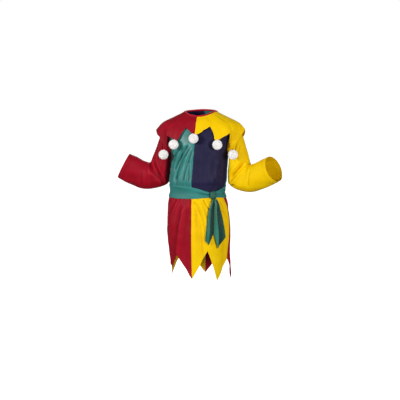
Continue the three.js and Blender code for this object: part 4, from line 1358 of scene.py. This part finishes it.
for tail in SASH_TAILS:
    marks = [mark[0] for mark in tail["edge"]]
    across = through(marks, TAIL_STEP)
    downs = np.linspace(0, 1, TAIL_ROWS)
    ripple = np.sin(across[None, :] * TAIL_RIPPLE["across"] + TAIL_RIPPLE["down"] * downs[:, None])
    ripple = TAIL_RIPPLE["rise"] * ripple * smoothstep(downs, 0.05, 0.35)[:, None]
    grid = tail_point(tail, across[None, :], downs[:, None], ripple)
    piece = cloth_piece(f"cloth_{tail['name']}", grid, SASH_WALL)
    # painted light and shade: the tails are painted lighter on the ridges of their folds and darker in the
    # troughs
    folds = np.array(tail["folds"])
    depth = 0.5 + read_smooth(folds[:, 0], folds[:, 1], across) / TAIL_PAINTED_SHADE_FULL
    depth = np.broadcast_to(np.clip(depth, 0, 1), grid.shape[:2])
    tail_painted_shade = piece.data.attributes["fold"]
    tail_painted_shade.data.foreach_set("value", np.resize(depth.ravel(), len(piece.data.vertices)))
    finish_cloth(tail["name"], piece, "sash_shaded_ends", grid, zigzag=True)

# %% [markdown]
# ## The pompoms
#
# A yarn pompom is hundreds of yarn ends that stand out from a tight middle. One yarn end is modelled, a
# short round-ended cone that widens outwards, and copies of it are spread evenly over a ball, each a
# little longer, shorter or leaning. Loose fibres between them break the outline.

# %% One yarn end
POMPOM = {"radius": 20.0, "core": 15.0}
YARN_ENDS = 590
LOOSE_FIBRES = 260
YARN_LENGTH = 9.0
YARN_TIP = 1.05
# how evenly the ends and fibres are spread, how far they lean and how their lengths differ
END_JITTER, END_LEAN, END_LENGTHS = 0.03, 0.07, (0.93, 1.04)
FIBRE_JITTER, FIBRE_LEAN, FIBRE_LENGTHS = 0.08, 0.3, (3.5, 5.2)
END_ROOT = POMPOM["radius"] - (YARN_LENGTH + YARN_TIP) * 0.99
FIBRE_ROOT = 16.5
# how far a pompom hangs out from its collar point, and how far down
HANG_OUT, HANG_DOWN = 0.78, -0.63

yarn_end = new_primitive(
    bpy.ops.mesh.primitive_cone_add,
    vertices=6, radius1=0.9, radius2=1.45, depth=YARN_LENGTH, end_fill_type="NGON",
)
bpy.ops.object.mode_set(mode="EDIT")
bpy.ops.mesh.select_all(action="DESELECT")
bpy.ops.object.mode_set(mode="OBJECT")
for face in yarn_end.data.polygons:
    face.select = face.normal.z > 0.9
bpy.ops.object.mode_set(mode="EDIT")
bpy.ops.mesh.inset(thickness=0.45)
bpy.ops.transform.translate(value=(0, 0, 0.7))
bpy.ops.mesh.inset(thickness=0.55)
bpy.ops.transform.translate(value=(0, 0, 0.35))
bpy.ops.object.mode_set(mode="OBJECT")
END_POINTS, END_FACES = take_shape(yarn_end)
END_POINTS[:, 2] += YARN_LENGTH / 2
FIBRE_POINTS = np.array([(0.13, 0, 0), (-0.07, 0.11, 0), (-0.07, -0.11, 0), (0, 0, 1)], dtype=float)
FIBRE_FACES = [[0, 2, 1], [0, 1, 3], [1, 2, 3], [2, 0, 3]]
print(len(END_FACES), "faces in a yarn end")

# %% Balls of yarn ends
def spread_directions(count, jitter):
    """Directions spread evenly over a ball, each a little off its place."""
    index = np.arange(count)
    height = 1 - (2 * index + 1) / count
    turn = math.pi * (3 - math.sqrt(5)) * index
    ring = np.sqrt(1 - height**2)
    directions = np.stack([np.cos(turn) * ring, np.sin(turn) * ring, height], axis=1)
    directions += random.normal(scale=jitter, size=directions.shape)
    return unit(directions)


def copies_on_ball(points, faces, directions, root, lengths, lean):
    """Places one copy of a small shape along each direction, rooted at one distance from the middle."""
    aside = random.normal(size=directions.shape)
    axis = unit(directions + lean * aside)
    side = unit(np.cross(axis, aside))
    other = np.cross(axis, side)
    stretched = np.repeat(points[None], len(directions), axis=0)
    stretched[:, :, 2] *= lengths[:, None]
    frames = np.stack([side, other, axis], axis=1)
    placed = np.einsum("npk,nkx->npx", stretched, frames) + (directions * root)[:, None, :]
    return placed.reshape(-1, 3), copied_faces(points, faces, len(directions))


core = new_primitive(bpy.ops.mesh.primitive_ico_sphere_add, subdivisions=3, radius=POMPOM["core"])
CORE_POINTS, CORE_FACES = take_shape(core)


def pompom(name, centre):
    directions = spread_directions(YARN_ENDS, END_JITTER)
    lengths = random.uniform(*END_LENGTHS, YARN_ENDS)
    ends, end_faces = copies_on_ball(END_POINTS, END_FACES, directions, END_ROOT, lengths, END_LEAN)
    loose = spread_directions(LOOSE_FIBRES, FIBRE_JITTER)
    lengths = random.uniform(*FIBRE_LENGTHS, LOOSE_FIBRES)
    fibres, fibre_faces = copies_on_ball(FIBRE_POINTS, FIBRE_FACES, loose, FIBRE_ROOT, lengths, FIBRE_LEAN)
    points, faces = [], []
    for part_points, part_faces in ((CORE_POINTS, CORE_FACES), (ends, end_faces), (fibres, fibre_faces)):
        shift = sum(len(part) for part in points)
        points.append(part_points)
        faces += [[v + shift for v in face] for face in part_faces]
    ball = new_piece(name, np.concatenate(points) + centre, faces)
    ball.data.materials.append(YARN)
    select_only(ball)
    bpy.ops.object.shade_smooth_by_angle(angle=math.radians(60))
    return ball


for place, angle in POMPOM_PLACES.items():
    tip = collar_point(float(angle), 1.0)
    middle = lean_with_hips(np.array([0, 0, tip[2]]))
    hang = tip - middle
    hang *= HANG_OUT / np.linalg.norm(hang)
    hang[2] = HANG_DOWN
    hang /= np.linalg.norm(hang)
    centre = tip + hang * (POMPOM["radius"] + 0.35)
    ball = pompom(f"yarn_pompom_{place}", centre)
    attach(ball, "root")
    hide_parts(f"pompom_{place}")
    print(place, centre.round(1), len(ball.data.polygons), "faces")

# %% [markdown]
# ## The studio
#
# The dress is shown at the height at which it is worn, over a plain white floor, in the soft even light
# of a catalogue photograph: a large main light from the camera's left, a weaker one from its right, and
# white all round.

# %% Floor and lights
FLOOR_LEVEL = -1.17
FLOOR_GREY = 0.6
SKY_STRENGTH = 0.22
floor = new_primitive(bpy.ops.mesh.primitive_plane_add, size=60, location=(0, 0, FLOOR_LEVEL))
floor.name = "floor"
floor_material, _, floor_shader = new_material("white floor")
floor_shader.inputs["Base Color"].default_value = (FLOOR_GREY, FLOOR_GREY, FLOOR_GREY, 1)
floor_shader.inputs["Roughness"].default_value = 0.9
floor_shader.inputs["Emission Color"].default_value = (1, 1, 1, 1)
floor_shader.inputs["Emission Strength"].default_value = 1.0
floor.data.materials.append(floor_material)
floor.visible_diffuse = False
floor.visible_glossy = False


def soft_light(name, place, size, power):
    light = bpy.data.lights.new(name, "AREA")
    light.shape = "DISK"
    light.size = size
    light.energy = power
    lamp = bpy.data.objects.new(name, light)
    lamp.location = place
    lamp.rotation_euler = (LOOKED_AT - Vector(place)).to_track_quat("-Z", "Y").to_euler()
    bpy.context.scene.collection.objects.link(lamp)


soft_light("main light", (-2.5, -3.4, 0.8), 0.8, 128)
soft_light("side light", (2.9, -2.8, 0.1), 1.0, 102)
soft_light("back light", (-0.5, 3.6, 1.2), 2.4, 70)
world = bpy.data.worlds.new("white studio")
world.use_nodes = True
sky = world.node_tree.nodes["Background"]
sky.inputs["Color"].default_value = (1, 1, 1, 1)
sky.inputs["Strength"].default_value = SKY_STRENGTH
backdrop = add_node(world.node_tree, "ShaderNodeBackground", Color=(1, 1, 1, 1), Strength=1.0)
seen = world.node_tree.nodes.new("ShaderNodeLightPath")
either = world.node_tree.nodes.new("ShaderNodeMixShader")
world.node_tree.links.new(seen.outputs["Is Camera Ray"], either.inputs[0])
world.node_tree.links.new(sky.outputs["Background"], either.inputs[1])
world.node_tree.links.new(backdrop.outputs["Background"], either.inputs[2])
world.node_tree.links.new(either.outputs["Shader"], world.node_tree.nodes["World Output"].inputs["Surface"])
bpy.context.scene.world = world
bpy.context.scene.view_settings.view_transform = "Standard"
print("floor at", FLOOR_LEVEL, "m")
